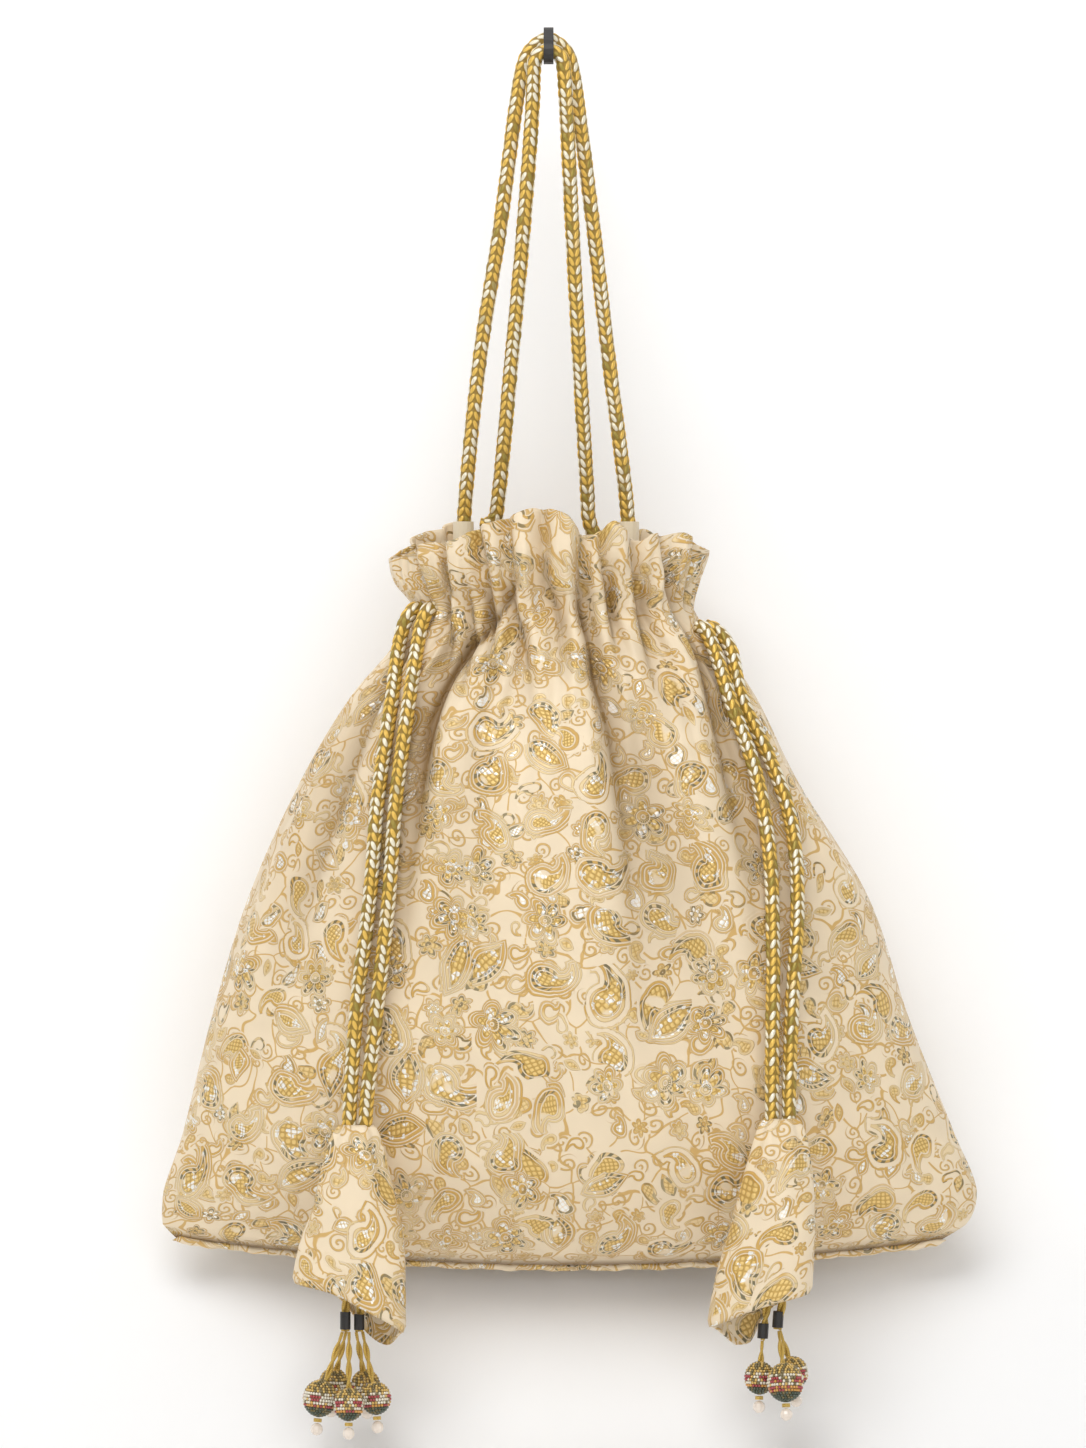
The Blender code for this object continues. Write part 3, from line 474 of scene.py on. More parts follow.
def cell_borders(shader, u, v, size):
    """Distance to the nearest border between cells scattered about size apart."""
    made = shader.tree.nodes.new("ShaderNodeTexVoronoi")
    made.voronoi_dimensions = "2D"
    made.feature = "DISTANCE_TO_EDGE"
    shader.feed(made.inputs["Vector"], shader.vector(u, v))
    shader.feed(made.inputs["Scale"], 1 / size)
    return Wire(shader, made.outputs["Distance"]) * size


def turned(shader, x, y, angle):
    cos, sin = shader.math("COSINE", angle), shader.math("SINE", angle)
    return x * cos + y * sin, y * cos - x * sin


def paisley(shader, x, y, bulb, bend, sweep):
    """Distance to the edge of a drop whose tail sweeps along an arc and narrows to its tip."""
    across = x + bend
    far = shader.math("SQRT", across * across + y * y)
    turn = shader.math("ARCTAN2", y, across)
    run = (turn / sweep).most(0.0).least(1.0)
    tail = abs(far - bend) - (1 - run) * (bulb * 0.9)
    tail = tail.most(turn * -bend).most((turn - sweep) * bend)
    return (shader.math("SQRT", x * x + y * y) - bulb).least(tail)


def rosette(shader, x, y, radius, petals):
    """Distance to the edge of a flower with rounded petals, and from its middle."""
    reach = shader.math("SQRT", x * x + y * y)
    angle = shader.math("ARCTAN2", y, x)
    wave = abs(shader.math("COSINE", angle * (petals / 2)))
    return reach - (wave * 0.5 + 0.5) * radius, reach


def leaf(shader, x, y, wide, tall):
    """Distance to the edge of a pointed oval."""
    share = abs(y) / tall
    return (abs(x) - (1 - share * share) * wide).most(abs(y) - tall)


def bead_rows(shader, x, y, pitch):
    """The round stitches of a metal filling, in straight rows."""
    return abs(shader.math("SINE", x * (math.pi / pitch)) * shader.math("SINE", y * (math.pi / pitch)))


def motifs(shader, u, v, size, shift, scale):
    """One layer of motifs: distance to the nearest one's edge, its own x and y and its random numbers."""
    x, y, dice = scattered(shader, u, v, size, shift, 0.78)
    grown = (dice[2] * 0.5 + 0.72) * scale
    x, y = turned(shader, x / grown, y / grown, dice[0] * math.tau)
    flower, reach = rosette(shader, x, y, 4.6, 6)
    flower = flower.most(0.9 - reach)
    blade = leaf(shader, x, y, 2.5, 5.6)
    shape = paisley(shader, x + 1.0, y + 2.6, 3.3, 5.2, 2.0)
    is_flower = shader.step(dice[1], 0.60, 0.61)
    is_blade = shader.step(dice[1], 0.82, 0.83)
    shape = shape * (1 - is_flower) + flower * (is_flower - is_blade) + blade * is_blade
    return shape * grown, x, y, dice


def dimmed(colour, share):
    return tuple(share * c for c in colour)


def brocade_material(name, colours):
    """Cream satin with paisleys, flowers, leaves and scrolls in gold and silver, with painted highlights,
    painted glints and the pouch's painted fold shade. Its map is in metres.
    """
    shader = Shader(name, 0.5, Sheen_Weight=0.15, Sheen_Roughness=0.4)
    u, v = shader.uv("cloth")
    u = u * 1000
    v = v * 1000
    ripple = shader.noise(shader.vector(u, v), CLOUD, 1.0)
    ripple_two = shader.noise(shader.vector(u + 60, v - 35), CLOUD, 1.0)
    u_loose = u + (ripple - 0.5) * MOTIF_SWAY
    v_loose = v + (ripple_two - 0.5) * MOTIF_SWAY
    place = shader.vector(u, v)

    big, x, y, dice = motifs(shader, u_loose, v_loose, *BIG_MOTIFS)
    beads = bead_rows(shader, x, y, FILLING_PITCH)
    inside = 1 - shader.step(big, -0.15, 0.05)
    heart = 1 - shader.step(big, -1.0, -0.8)
    rim = shader.line(big, 0.95)
    second = shader.line(big + 1.15, 0.5) * shader.step(dice[2], 0.4, 0.45)
    halo = shader.line(big - 1.25, 0.6) * shader.step(dice[1], 0.25, 0.3)
    halo_two = shader.line(big - 2.3, 0.55) * shader.step(dice[0], 0.55, 0.6)
    clear = shader.step(big, 1.6, 2.1)
    angle = shader.math("ARCTAN2", y, x)
    dashes = shader.step(shader.math("SINE", angle * 17), -0.2, 0.3)
    shaded_side = shader.step(shader.math("SINE", angle + dice[2] * math.tau), 0.0, 0.35)

    small, x2, y2, dice2 = motifs(shader, u_loose, v_loose, *SMALL_MOTIFS)
    small_rim = shader.line(small, 0.75) * clear
    small_halo = shader.line(small - 1.0, 0.5) * clear * shader.step(dice2[0], 0.5, 0.55)
    small_heart = (1 - shader.step(small, -0.5, -0.4)) * clear
    room = clear * shader.step(small, 0.9, 1.3)

    x3, y3, dice3 = scattered(shader, u_loose, v_loose, *SCROLLS)
    far = shader.math("SQRT", x3 * x3 + y3 * y3)
    curl = shader.math("FRACT", far / SCROLL_PITCH + shader.math("ARCTAN2", y3, x3) / math.tau + dice3[0])
    scroll = shader.line(curl - 0.5, 0.36) * (1 - shader.step(far, 2.8, 3.3)) * room
    u_vine = u + (ripple_two - 0.5) * VINE_SWAY
    v_vine = v + (ripple - 0.5) * VINE_SWAY
    stem = cell_borders(shader, u_vine, v_vine, VINE_CELLS)
    vine = shader.line(stem, 0.7) * room
    lines = rim.most(second).most(halo).most(halo_two).most(small_rim).most(small_halo * 0.8)
    embossed = lines.most(scroll * 0.9)
    lines = embossed.most(vine * 0.9)
    # Painted highlight: the tops of the gold lines turn pale in patches where the noise is high.
    painted_highlight = shader.step(lines, 0.93, 1.0) * shader.step(ripple_two, 0.42, 0.56)
    gilded = shader.step(shader.noise(place, 0.11, 1.0), 0.26, 0.38)
    hearts = (heart * inside * gilded).most(small_heart * shader.step(dice2[1], 0.3, 0.34) * 0.8)

    # Silver picks with painted glints: pale noise patches in the big motifs, and whole small hearts in
    # silver.
    bright = shader.step(shader.noise(place, 0.34, 1.5), 0.57, 0.61)
    silver_and_glint = bright * shader.step(dice[1] + dice[0], 0.5, 0.9) * inside
    silver_and_glint = silver_and_glint.most(shader.step(dice2[0], 0.80, 0.82) * small_heart)
    slate = rim.most(second * 0.8) * dashes * shaded_side * shader.step(dice[2], 0.12, 0.2)
    slate = slate.most(small_rim * shader.step(dice2[2], 0.66, 0.7) * dashes * 0.8)
    seams = (1 - beads) * hearts

    ground = shader.blend(ripple, dimmed(colours.ground, 0.93), dimmed(colours.ground, 1.06))
    grain = shader.math("SINE", (u + v) * THREADS) * shader.math("SINE", (u - v) * THREADS)
    ground = shader.blend(grain * 0.05 + 0.05, ground, dimmed(colours.ground, 0.6))
    colour = shader.blend(hearts * 0.85, ground, colours.fill)
    colour = shader.blend(shader.step(seams, 0.3, 0.85) * 0.75, colour, colours.seam)
    colour = shader.blend(lines * 0.92, colour, colours.line)
    # Painted highlight on the lines' tops, then the silver picks and painted glints, brightest on the bead
    # rows.
    colour = shader.blend(painted_highlight * 0.5, colour, colours.painted_highlight)
    colour = shader.blend(silver_and_glint * (shader.step(beads, 0.12, 0.4) * 0.75 + 0.2), colour, colours.silver_and_glint)
    colour = shader.blend(slate * 0.9, colour, colours.slate)
    # Painted shade: the pouch's fold attribute darkens the colour towards the shade colour in creases, fine
    # gathers and at the seam.
    fold = attribute(shader, "fold")
    colour = shader.blend((fold * 1.35).least(0.92), colour, colours.shade)
    shader.set("Base Color", colour)
    shader.set("Roughness", 0.52 - hearts * 0.14 - painted_highlight * 0.12 - silver_and_glint * 0.1)
    shader.set("Metallic", (hearts * 0.28 + painted_highlight * 0.2 + silver_and_glint * 0.25).least(0.4))
    relief = embossed * 0.9 + hearts * (beads * 0.8 + 0.35) + grain * 0.06
    shader.set("Normal", shader.bump(relief, 0.26 * MM, 0.9))
    return shader.material


def satin_material(name, colour):
    """Plain satin with a fine twill."""
    shader = Shader(name, 0.42, Sheen_Weight=0.2)
    u, v = shader.uv("cloth")
    grain = shader.math("SINE", (u + v) * 9000.0)
    shade = shader.noise(shader.vector(u * 1000, v * 1000), 0.08, 3.0)
    shader.set("Base Color", shader.blend(shade, dimmed(colour, 0.88), dimmed(colour, 1.08)))
    shader.set("Roughness", 0.36 + shade * 0.14)
    shader.set("Normal", shader.bump(grain, 0.04 * MM, 0.5))
    return shader.material


def attribute(shader, name):
    return shader.node("ShaderNodeAttribute", {"attribute_name": name, "attribute_type": "GEOMETRY"}, None, 0)


def braid_material(name, plait):
    """Slanted stitches in white, yellow and olive metal thread. Its map is columns round and metres along."""
    shader = Shader(name, 0.34)
    u, v = shader.uv("plait")
    lean = shader.math("PINGPONG", u, 1.0)
    within = shader.math("FRACT", u)
    stitch = v / plait + lean * PLAIT_SLANT
    part = shader.math("FRACT", stitch)
    lens = shader.math("SINE", part * math.pi) * 0.62 + shader.math("SINE", within * math.pi) * 0.55
    body = shader.step(lens, 0.60, 0.88)
    dice = shader.node("ShaderNodeTexWhiteNoise", {"noise_dimensions": "2D"},
                       {"Vector": shader.vector(shader.math("FLOOR", u), shader.math("FLOOR", stitch))})
    threads = shader.math("SINE", (within + part * 1.5) * 26.0)
    bright = shader.blend(shader.step(dice, 0.48, 0.50), YELLOW, WHITE)
    bright = shader.blend(shader.step(dice, 0.93, 0.94), bright, OLIVE)
    bright = shader.blend(threads * 0.12 + 0.12, bright, DEEP)
    shader.set("Base Color", shader.blend(body, BETWEEN, bright))
    shader.set("Roughness", 0.44 - body * 0.14)
    shader.set("Metallic", body * 0.3 + 0.1)
    shader.set("Normal", shader.bump(threads * 0.3 + body, 0.10 * MM, 0.7))
    return shader.material


def thread_material(name, colour):
    """Twisted metallic thread, with painted shade along the grooves of its fine twist."""
    shader = Shader(name, 0.3, 0.55)
    where = shader.node("ShaderNodeTexCoord", None, None, 3)
    x, y, z = shader.parts(where)
    twist = shader.math("SINE", (z + (x + y) * 0.8) * 9000.0)
    # Painted shade: the colour darkens to half along the grooves of the twist.
    shade = shader.step(twist, -1.0, 0.6)
    shader.set("Base Color", shader.blend(shade, dimmed(colour, 0.5), colour))
    shader.set("Roughness", 0.42 - shade * 0.15)
    shader.set("Normal", shader.bump(twist, 0.09 * MM, 0.8))
    return shader.material


def bead_material(name):
    """Glass seed beads, each in its own colour."""
    shader = Shader(name, 0.14, 0.0, Coat_Roughness=0.08)
    tint = attribute(shader, "tint")
    where = shader.node("ShaderNodeTexCoord", None, None, 3)
    cloud = shader.node("ShaderNodeTexNoise", None, {"Vector": where, "Scale": 900.0, "Detail": 1.0})
    shader.set("Base Color", shader.blend(cloud * 0.12, tint, (0.95, 0.93, 0.88)))
    shader.set("Roughness", 0.10 + cloud * 0.16)
    shader.set("Metallic", 0.15 + cloud * 0.15)
    shader.set("Coat Weight", 0.6)
    return shader.material


def pearl_material(name, colour):
    """Nacre: a soft gloss over a faint pink and cream cloud."""
    shader = Shader(name, 0.2, Coat_Weight=0.7, Coat_Roughness=0.1)
    where = shader.node("ShaderNodeTexCoord", None, None, 3)
    cloud = shader.node("ShaderNodeTexNoise", None, {"Vector": where, "Scale": 420.0, "Detail": 2.0})
    shader.set("Base Color", shader.blend(cloud, colour, (0.90, 0.82, 0.73)))
    shader.set("Roughness", 0.16 + cloud * 0.12)
    return shader.material


def sleeve_material(name, colour):
    """Dull black shrink sleeve with a faint crinkle."""
    shader = Shader(name, 0.42)
    where = shader.node("ShaderNodeTexCoord", None, None, 3)
    crinkle = shader.node("ShaderNodeTexNoise", None, {"Vector": where, "Scale": 1400.0, "Detail": 3.0})
    shader.set("Base Color", shader.blend(crinkle * 0.5, colour, (0.05, 0.045, 0.04)))
    shader.set("Roughness", 0.34 + crinkle * 0.22)
    shader.set("Normal", shader.bump(crinkle, 0.12 * MM, 0.5))
    return shader.material


MATERIALS = {}


def material(name):
    """The named material, made the first time it is asked for."""
    if name not in MATERIALS:
        colours = bpy.context.scene.potli_colours
        makers = {
            "brocade": lambda: brocade_material("brocade", colours),
            "lining_satin": lambda: satin_material("lining_satin", colours.lining),
            "braided_cord": lambda: braid_material("braided_cord", bpy.context.scene.potli_sizes.plait),
            "gold_thread": lambda: thread_material("gold_thread", colours.gold),
            "seed_beads": lambda: bead_material("seed_beads"),
            "pearl": lambda: pearl_material("pearl", colours.pearl),
            "black_sleeve": lambda: sleeve_material("black_sleeve", colours.black),
        }
        MATERIALS[name] = makers[name]()
    return MATERIALS[name]


def clamp_slope(slope, chord):
    """A knot's slope that keeps the curve from running past its knots."""
    if slope * chord <= 0:
        return 0.0
    return math.copysign(min(abs(slope), 3 * abs(chord)), chord)


def along(rows, key):
    """The values of rows at key, on a smooth curve through the rows, which start with their own keys."""
    if key <= rows[0][0]:
        return rows[0][1:]
    if key >= rows[-1][0]:
        return rows[-1][1:]
    i = max(n for n, row in enumerate(rows) if row[0] <= key)
    low, high = rows[i], rows[i + 1]
    before = rows[max(0, i - 1)]
    after = rows[min(len(rows) - 1, i + 2)]
    span = high[0] - low[0]
    t = (key - low[0]) / span
    values = []
    for column in range(1, len(low)):
        slope = (high[column] - low[column]) / span
        left = clamp_slope((high[column] - before[column]) / (high[0] - before[0]), slope)
        right = clamp_slope((after[column] - low[column]) / (after[0] - low[0]), slope)
        values.append(
            low[column] * (2 * t**3 - 3 * t**2 + 1)
            + left * span * (t**3 - 2 * t**2 + t)
            + high[column] * (3 * t**2 - 2 * t**3)
            + right * span * (t**3 - t**2)
        )
    return values


def smooth(a, b, x):
    """0 up to a, 1 from b on, and an S between them."""
    t = np.clip((x - a) / (b - a), 0.0, 1.0)
    return t * t * (3.0 - 2.0 * t)


class Table:
    """Rows read at many keys at once, along the same smooth curve."""

    def __init__(self, rows, step=0.5):
        self.keys = np.arange(rows[0][0], rows[-1][0] + step, step)
        self.values = np.array([along(rows, key) for key in self.keys])

    def __call__(self, keys, column):
        return np.interp(keys, self.keys, self.values[:, column])


def back_folds():
    """The back's creases: evenly spread, each a little unlike the next."""
    folds = []
    for n in range(BACK_FOLD_COUNT):
        share = -0.9 + 1.8 * n / (BACK_FOLD_COUNT - 1) + 0.05 * math.sin(2.3 * n)
        depth = BACK_FOLD_DEPTH * (0.8 + 0.25 * math.sin(1.7 * n + 0.6))
        reach = NECK_DROP + (BACK_FOLD_REACH - NECK_DROP) * (0.45 + 0.4 * math.sin(2.9 * n + 1.0) ** 2)
        rows = []
        for drop, part, width in (*BACK_FOLD_ROWS, (reach, 0.0, BACK_FOLD_END)):
            left, right = along(PROFILE, drop)[:2]
            rows.append(((left + right) / 2 + share * (right - left) / 2, drop, depth * part, width))
        folds.append(sorted(rows, key=lambda row: row[1]))
    return folds


def fold_tables(folds):
    return [Table([(row[1], row[0], row[2], row[3]) for row in fold]) for fold in folds]


PROFILE_TABLE = Table(PROFILE)
RIM_TABLES = {-1: Table(FRONT_RIM), 1: Table(BACK_RIM)}
FOLD_TABLES = {-1: fold_tables(FRONT_FOLDS), 1: fold_tables(back_folds())}


def crease_parts(side, x, drop):
    """How far the folds of one side draw the cloth in at x, and how much painted shade they lay on it."""
    depth_sum = np.zeros_like(x)
    dark = np.zeros_like(x)
    for table in FOLD_TABLES[side]:
        top, end = table.keys[0], table.keys[-1]
        depth = FOLD_GAIN * table(drop, 1) * smooth(top - 8, top, drop) * (drop < end)
        middle = table(drop, 0)
        lean = np.tanh((middle - FOLD_TURN) / 8)
        off = (x - middle) / table(drop, 2)
        steep = off * lean < 0
        slope = np.where(steep, 1 + STEEPER * np.abs(lean), 1 - 0.35 * np.abs(lean))
        shape = np.exp(-np.abs(off * 1.2 * slope) ** FOLD_POINT)
        puff = PUFF * np.exp(-((off + lean * PUFF_OFF) / 1.5) ** 2)
        depth_sum += depth * (shape - puff)
        # Painted shade along each crease, narrower on its steep side.
        dark += depth / FOLD_DEEPEST * np.exp(-np.abs(off * 2.1 * slope))
    return FOLD_DEEPEST * np.tanh(depth_sum / FOLD_DEEPEST), dark


def crease(side, x, drop):
    return crease_parts(side, x, drop)[0]


def exit_cover(angle, drop):
    """Less folding where the drawcords leave the neck, so that the cloth covers their turn inside it."""
    kept = np.ones_like(angle)
    for side, degrees in SLIT_ANGLES.items():
        away = (angle - math.radians(degrees) + math.pi) % (2 * math.pi) - math.pi
        kept -= 0.95 * np.exp(-((away / 0.30) ** 2) - ((drop - EXIT_DROPS[side]) / 9.0) ** 2)
    return kept


def wrinkles(angle, drop):
    """The fine gathers between the big folds, deepest at the neck, and the pouch's broad swells below."""
    wave = (
        np.sin(27 * angle + 1.9 * np.sin(5 * angle + drop / 40)) * (0.7 + 0.5 * np.sin(7 * angle + 1))
        + 0.8 * np.sin(43 * angle + 2.0 * np.sin(3 * angle)) * (0.6 + 0.6 * np.sin(11 * angle + 2))
        + 0.5 * np.sin(71 * angle + drop / 23)
    )
    fine = 0.8 * smooth(270, 178, drop) * smooth(145, 172, drop)
    swell = np.sin(11 * angle + 1.5 * np.sin(2 * angle) + drop / 90) + 0.6 * np.sin(17 * angle - drop / 60)
    broad = 1.3 * smooth(195, 225, drop) * smooth(350, 240, drop)
    return exit_cover(angle, drop) * fine * wave + broad * swell


def section(angle, drop, inset=0.0, folded=1.0):
    """The pouch's x and y at angles round it, 0 at its right edge and 90 degrees at its back."""
    left, right, front, back, lens = (PROFILE_TABLE(drop, n) for n in range(5))
    rising = np.sin(angle)
    side = np.where(rising > 0, 1, -1)
    deep = np.where(side > 0, back, front) - inset
    wide = (right - left) / 2 - inset
    rise = np.abs(rising)
    x = (left + right) / 2 + wide * np.cos(angle)
    y = side * deep * rise**lens
    normal = np.array((np.cos(angle) / wide, side * rise / deep))
    normal /= np.linalg.norm(normal, axis=0)
    drawn = np.where(side > 0, crease(1, x, drop), crease(-1, x, drop))
    drawn = drawn * exit_cover(angle, drop) + wrinkles(angle, drop)
    pull = folded * drawn * (0.12 + 0.88 * smooth(0.04, 0.42, rise))
    return x - normal[0] * pull * 0.8, y - normal[1] * pull


def fold_shade(angle, drop):
    """How much painted shade the cloth gets from its folds, its fine gathers and the seam, from 0 to 1."""
    left, right = PROFILE_TABLE(drop, 0), PROFILE_TABLE(drop, 1)
    x = (left + right) / 2 + (right - left) / 2 * np.cos(angle)
    dark = np.where(np.sin(angle) > 0, crease_parts(1, x, drop)[1], crease_parts(-1, x, drop)[1])
    # Painted shade in the fine gathers and in the crease at the seam.
    fine = np.maximum(wrinkles(angle, drop), 0.0) * 0.05
    seam = 0.75 * smooth(SEAM_DROP - 3, SEAM_DROP, drop)
    facing = smooth(0.05, 0.40, np.abs(np.sin(angle)))
    ruffle = 0.36 + 0.64 * smooth(164, 184, drop)
    return np.clip(dark * ruffle * facing * exit_cover(angle, drop) + fine + seam, 0.0, 1.0)


def sag(x, drop):
    """How much lower the cloth hangs at x than at the pouch's sides."""
    half = (PROFILE_TABLE(drop, 1) - PROFILE_TABLE(drop, 0)) / 2
    across = (x - BODY_MIDDLE) / half
    return SEAM_SAG * np.maximum(0.0, 1 - across**2) * smooth(SAG_START, SEAM_DROP, drop)


def pouch_surface(angle, row):
    """Points of the pouch: row runs from -1 at the mouth's edge over 0 at the neck to 1 at the seam."""
    above = row < 0
    share = np.where(above, -row, 0.0)
    left, right = along(PROFILE, 160)[:2]
    across = (left + right) / 2 + (right - left) / 2 * np.cos(angle)
    edge = np.where(np.sin(angle) > 0, RIM_TABLES[1](across, 0), RIM_TABLES[-1](across, 0))
    notch = np.where(np.sin(angle) > 0, crease(1, across, edge + 4), crease(-1, across, edge + 4))
    edge = edge + RIM_NOTCH * np.maximum(notch, 0)
    upper = NECK_DROP + (edge - NECK_DROP) * share
    lower = NECK_DROP + (SEAM_DROP - NECK_DROP) * np.maximum(row, 0)
    drop = np.where(above, upper, lower)
    x, y = section(angle, drop)
    z = -drop - np.where(above, 0.0, sag(x, drop))
    return np.stack((x, y, z), axis=-1)


def new_piece(name, mesh, slot, body, *nodes):
    """Puts a finished mesh in the scene as a piece that stands for CAD nodes and rides on a body."""
    piece = bpy.data.objects.new(name, mesh)
    bpy.context.scene.collection.objects.link(piece)
    mesh.materials.append(material(slot))
    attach(piece, body)
    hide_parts(*nodes)
    return piece


def finish_node(node, slot):
    """Gives the solid of a CAD node its finished material."""
    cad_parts[node].material_slots[0].material = material(slot)


def thicken(piece, cloth):
    """Gives a sheet its thickness, inwards."""
    bpy.ops.object.select_all(action="DESELECT")
    piece.select_set(True)
    bpy.context.view_layer.objects.active = piece
    solid = piece.modifiers.new("cloth", "SOLIDIFY")
    solid.thickness = cloth
    solid.offset = -1.0
    bpy.ops.object.modifier_apply(modifier=solid.name)
    return piece


def closed_mesh(name, verts, faces, layer=None, corners=None):
    """A smooth mesh with its normals outwards, and with a map of that name where the corners have one."""
    mesh = bpy.data.meshes.new(name)
    mesh.from_pydata(verts, [], faces)
    if layer:
        made = mesh.uv_layers.new(name=layer)
        made.data.foreach_set("uv", np.array(corners, dtype=np.float32).ravel())
    mesh.shade_smooth()
    shape = bmesh.new()
    shape.from_mesh(mesh)
    bmesh.ops.recalc_face_normals(shape, faces=shape.faces)
    shape.to_mesh(mesh)
    shape.free()
    return mesh


def quad(row, column, columns, base=0):
    """The corner numbers of one face between two closed rows of points."""
    after = (column + 1) % columns
    low, high = base + row * columns, base + (row + 1) * columns
    return low + column, high + column, high + after, low + after


def grid_mesh(name, points, maps, end=None):
    """A mesh of closed rows of points. maps gives each face corner's map in metres by row and column."""
    rows, columns = points.shape[:2]
    verts = points.reshape(-1, 3) * MM
    faces, corners = [], []
    for r in range(rows - 1):
        for c in range(columns):
            faces.append(quad(r, c, columns))
            corners += [(r, c), (r + 1, c), (r + 1, c + 1), (r, c + 1)]
    if end == "seam":
        base = (rows - 1) * columns
        half = columns // 2
        for c in range(half):
            here = [c, c + 1, (columns - c - 1) % columns, (columns - c) % columns]
            loop = list(dict.fromkeys(here))
            faces.append([base + k for k in loop])
            corners += [(rows - 1, k) for k in loop]
    if end == "caps":
        for row in (0, rows - 1):
            faces.append([row * columns + c for c in range(columns)])
            corners += [(row, c) for c in range(columns)]
    return closed_mesh(name, verts.tolist(), faces, "cloth", [maps[r, c] for r, c in corners])


def cloth_maps(points, halves=True):
    """Maps in metres: across from the middle of each panel's rows, down by the rows' mean spacing."""
    rows, columns = points.shape[:2]
    ring = np.concatenate((points, points[:, :1]), axis=1)
    steps = np.linalg.norm(np.diff(ring, axis=1), axis=2)
    lengths = np.concatenate((np.zeros((rows, 1)), np.cumsum(steps, axis=1)), axis=1)
    down = np.linalg.norm(np.diff(points, axis=0), axis=2).mean(axis=1)
    fall = np.concatenate(([0.0], np.cumsum(down)))
    maps = np.zeros((rows, columns + 1, 2))
    half = columns // 2
    for start, stop in ((0, half), (half, columns)) if halves else ((0, columns),):
        middle = (lengths[:, start] + lengths[:, stop]) / 2
        maps[:, start:stop + 1, 0] = lengths[:, start:stop + 1] - middle[:, None]
    maps[:, :, 1] = -fall[:, None]
    return maps * MM


def lining_surface(angle, drop):
    inset = LINING_ROOM + LINING_NECK_ROOM * (1 - smooth(215, 340, drop))
    x, y = section(angle, drop, inset, 0.0)
    return np.stack((x, y, -drop - sag(x, drop) * 0.9), axis=-1)


class POTLI_OT_pouch(bpy.types.Operator):
    """Gathers the brocade pouch from its mouth to its seam"""

    bl_idname = "potli.pouch"
    bl_label = "Pouch"

    def execute(self, context):
        sizes = context.scene.potli_sizes
        angle = np.linspace(0, 2 * math.pi, sizes.around, endpoint=False)
        upper = np.linspace(-1, 0, RUFFLE_ROWS)[:-1]
        lower = np.linspace(0, 1, sizes.rows - RUFFLE_ROWS)
        rows = np.concatenate((upper, lower**ROW_BUNCH))
        angles, levels = np.meshgrid(angle, rows)
        points = pouch_surface(angles, levels)
        mesh = grid_mesh("pouch", points, cloth_maps(points), end="seam")
        drops = NECK_DROP + (SEAM_DROP - NECK_DROP) * levels
        # Painted shade for each point, kept in the fold attribute that darkens the brocade.
        shade = fold_shade(angles, np.where(levels < 0, -points[..., 2], drops))
        layer = mesh.attributes.new("fold", "FLOAT", "POINT")
        layer.data.foreach_set("value", shade.astype(np.float32).ravel())
        piece = thicken(new_piece("pouch", mesh, "brocade", "bag", "outer_bag"), sizes.cloth)
        return {"FINISHED"}


class POTLI_OT_lining(bpy.types.Operator):
    """Sews the satin lining and the facing of the drawcords' channel"""

    bl_idname = "potli.lining"
    bl_label = "Lining"

    def execute(self, context):
        satin = context.scene.potli_sizes.satin
        angle = np.linspace(0, 2 * math.pi, LINING_ROUND, endpoint=False)
        angles, drops = np.meshgrid(angle, np.linspace(LINING_TOP, LINING_END, LINING_ROWS))
        points = lining_surface(angles, drops)
        mesh = grid_mesh("lining", points, cloth_maps(points), end="seam")
        thicken(new_piece("lining", mesh, "lining_satin", "bag", "lining"), satin)
        finish_node("channel_facing", "lining_satin")
        return {"FINISHED"}


def smooth_route(route, spacing):
    """Even points on a smooth curve through a route's points."""
    points = [Vector(p) for p in route]
    fine = []
    for n in range(len(points) - 1):
        before = points[n - 1] if n else points[0] * 2 - points[1]
        after = points[n + 2] if n + 2 < len(points) else points[-1] * 2 - points[-2]
        here, there = points[n], points[n + 1]
        knots = [0.0]
        for a, b in ((before, here), (here, there), (there, after)):
            knots.append(knots[-1] + math.sqrt(max((b - a).length, 1e-6)))
        for step in range(24):
            fine.append(centripetal(before, here, there, after, knots, step / 24))
    fine.append(points[-1])
    fine = np.array(fine)
    lengths = np.concatenate(([0.0], np.cumsum(np.linalg.norm(np.diff(fine, axis=0), axis=1))))
    count = max(2, round(lengths[-1] / spacing) + 1)
    at = np.linspace(0, lengths[-1], count)
    return np.stack([np.interp(at, lengths, fine[:, k]) for k in range(3)], axis=-1)


def centripetal(p0, p1, p2, p3, t, share):
    u = t[1] + (t[2] - t[1]) * share
    a1 = p0 * ((t[1] - u) / (t[1] - t[0])) + p1 * ((u - t[0]) / (t[1] - t[0]))
    a2 = p1 * ((t[2] - u) / (t[2] - t[1])) + p2 * ((u - t[1]) / (t[2] - t[1]))
    a3 = p2 * ((t[3] - u) / (t[3] - t[2])) + p3 * ((u - t[2]) / (t[3] - t[2]))
    b1 = a1 * ((t[2] - u) / (t[2] - t[0])) + a2 * ((u - t[0]) / (t[2] - t[0]))
    b2 = a2 * ((t[3] - u) / (t[3] - t[1])) + a3 * ((u - t[1]) / (t[3] - t[1]))
    return b1 * ((t[2] - u) / (t[2] - t[1])) + b2 * ((u - t[1]) / (t[2] - t[1]))


def frames_along(path, start=(0.0, -1.0, 0.0)):
    """Each point's direction and two sideways directions that turn with the path and never twist."""
    ahead = np.gradient(path, axis=0)
    ahead /= np.linalg.norm(ahead, axis=1)[:, None]
    side = np.array(start) - ahead[0] * np.dot(start, ahead[0])
    side /= np.linalg.norm(side)
    sides = [side]
    for n in range(1, len(path)):
        side = sides[-1] - ahead[n] * np.dot(sides[-1], ahead[n])
        sides.append(side / np.linalg.norm(side))
    sides = np.array(sides)
    return ahead, sides, np.cross(ahead, sides)


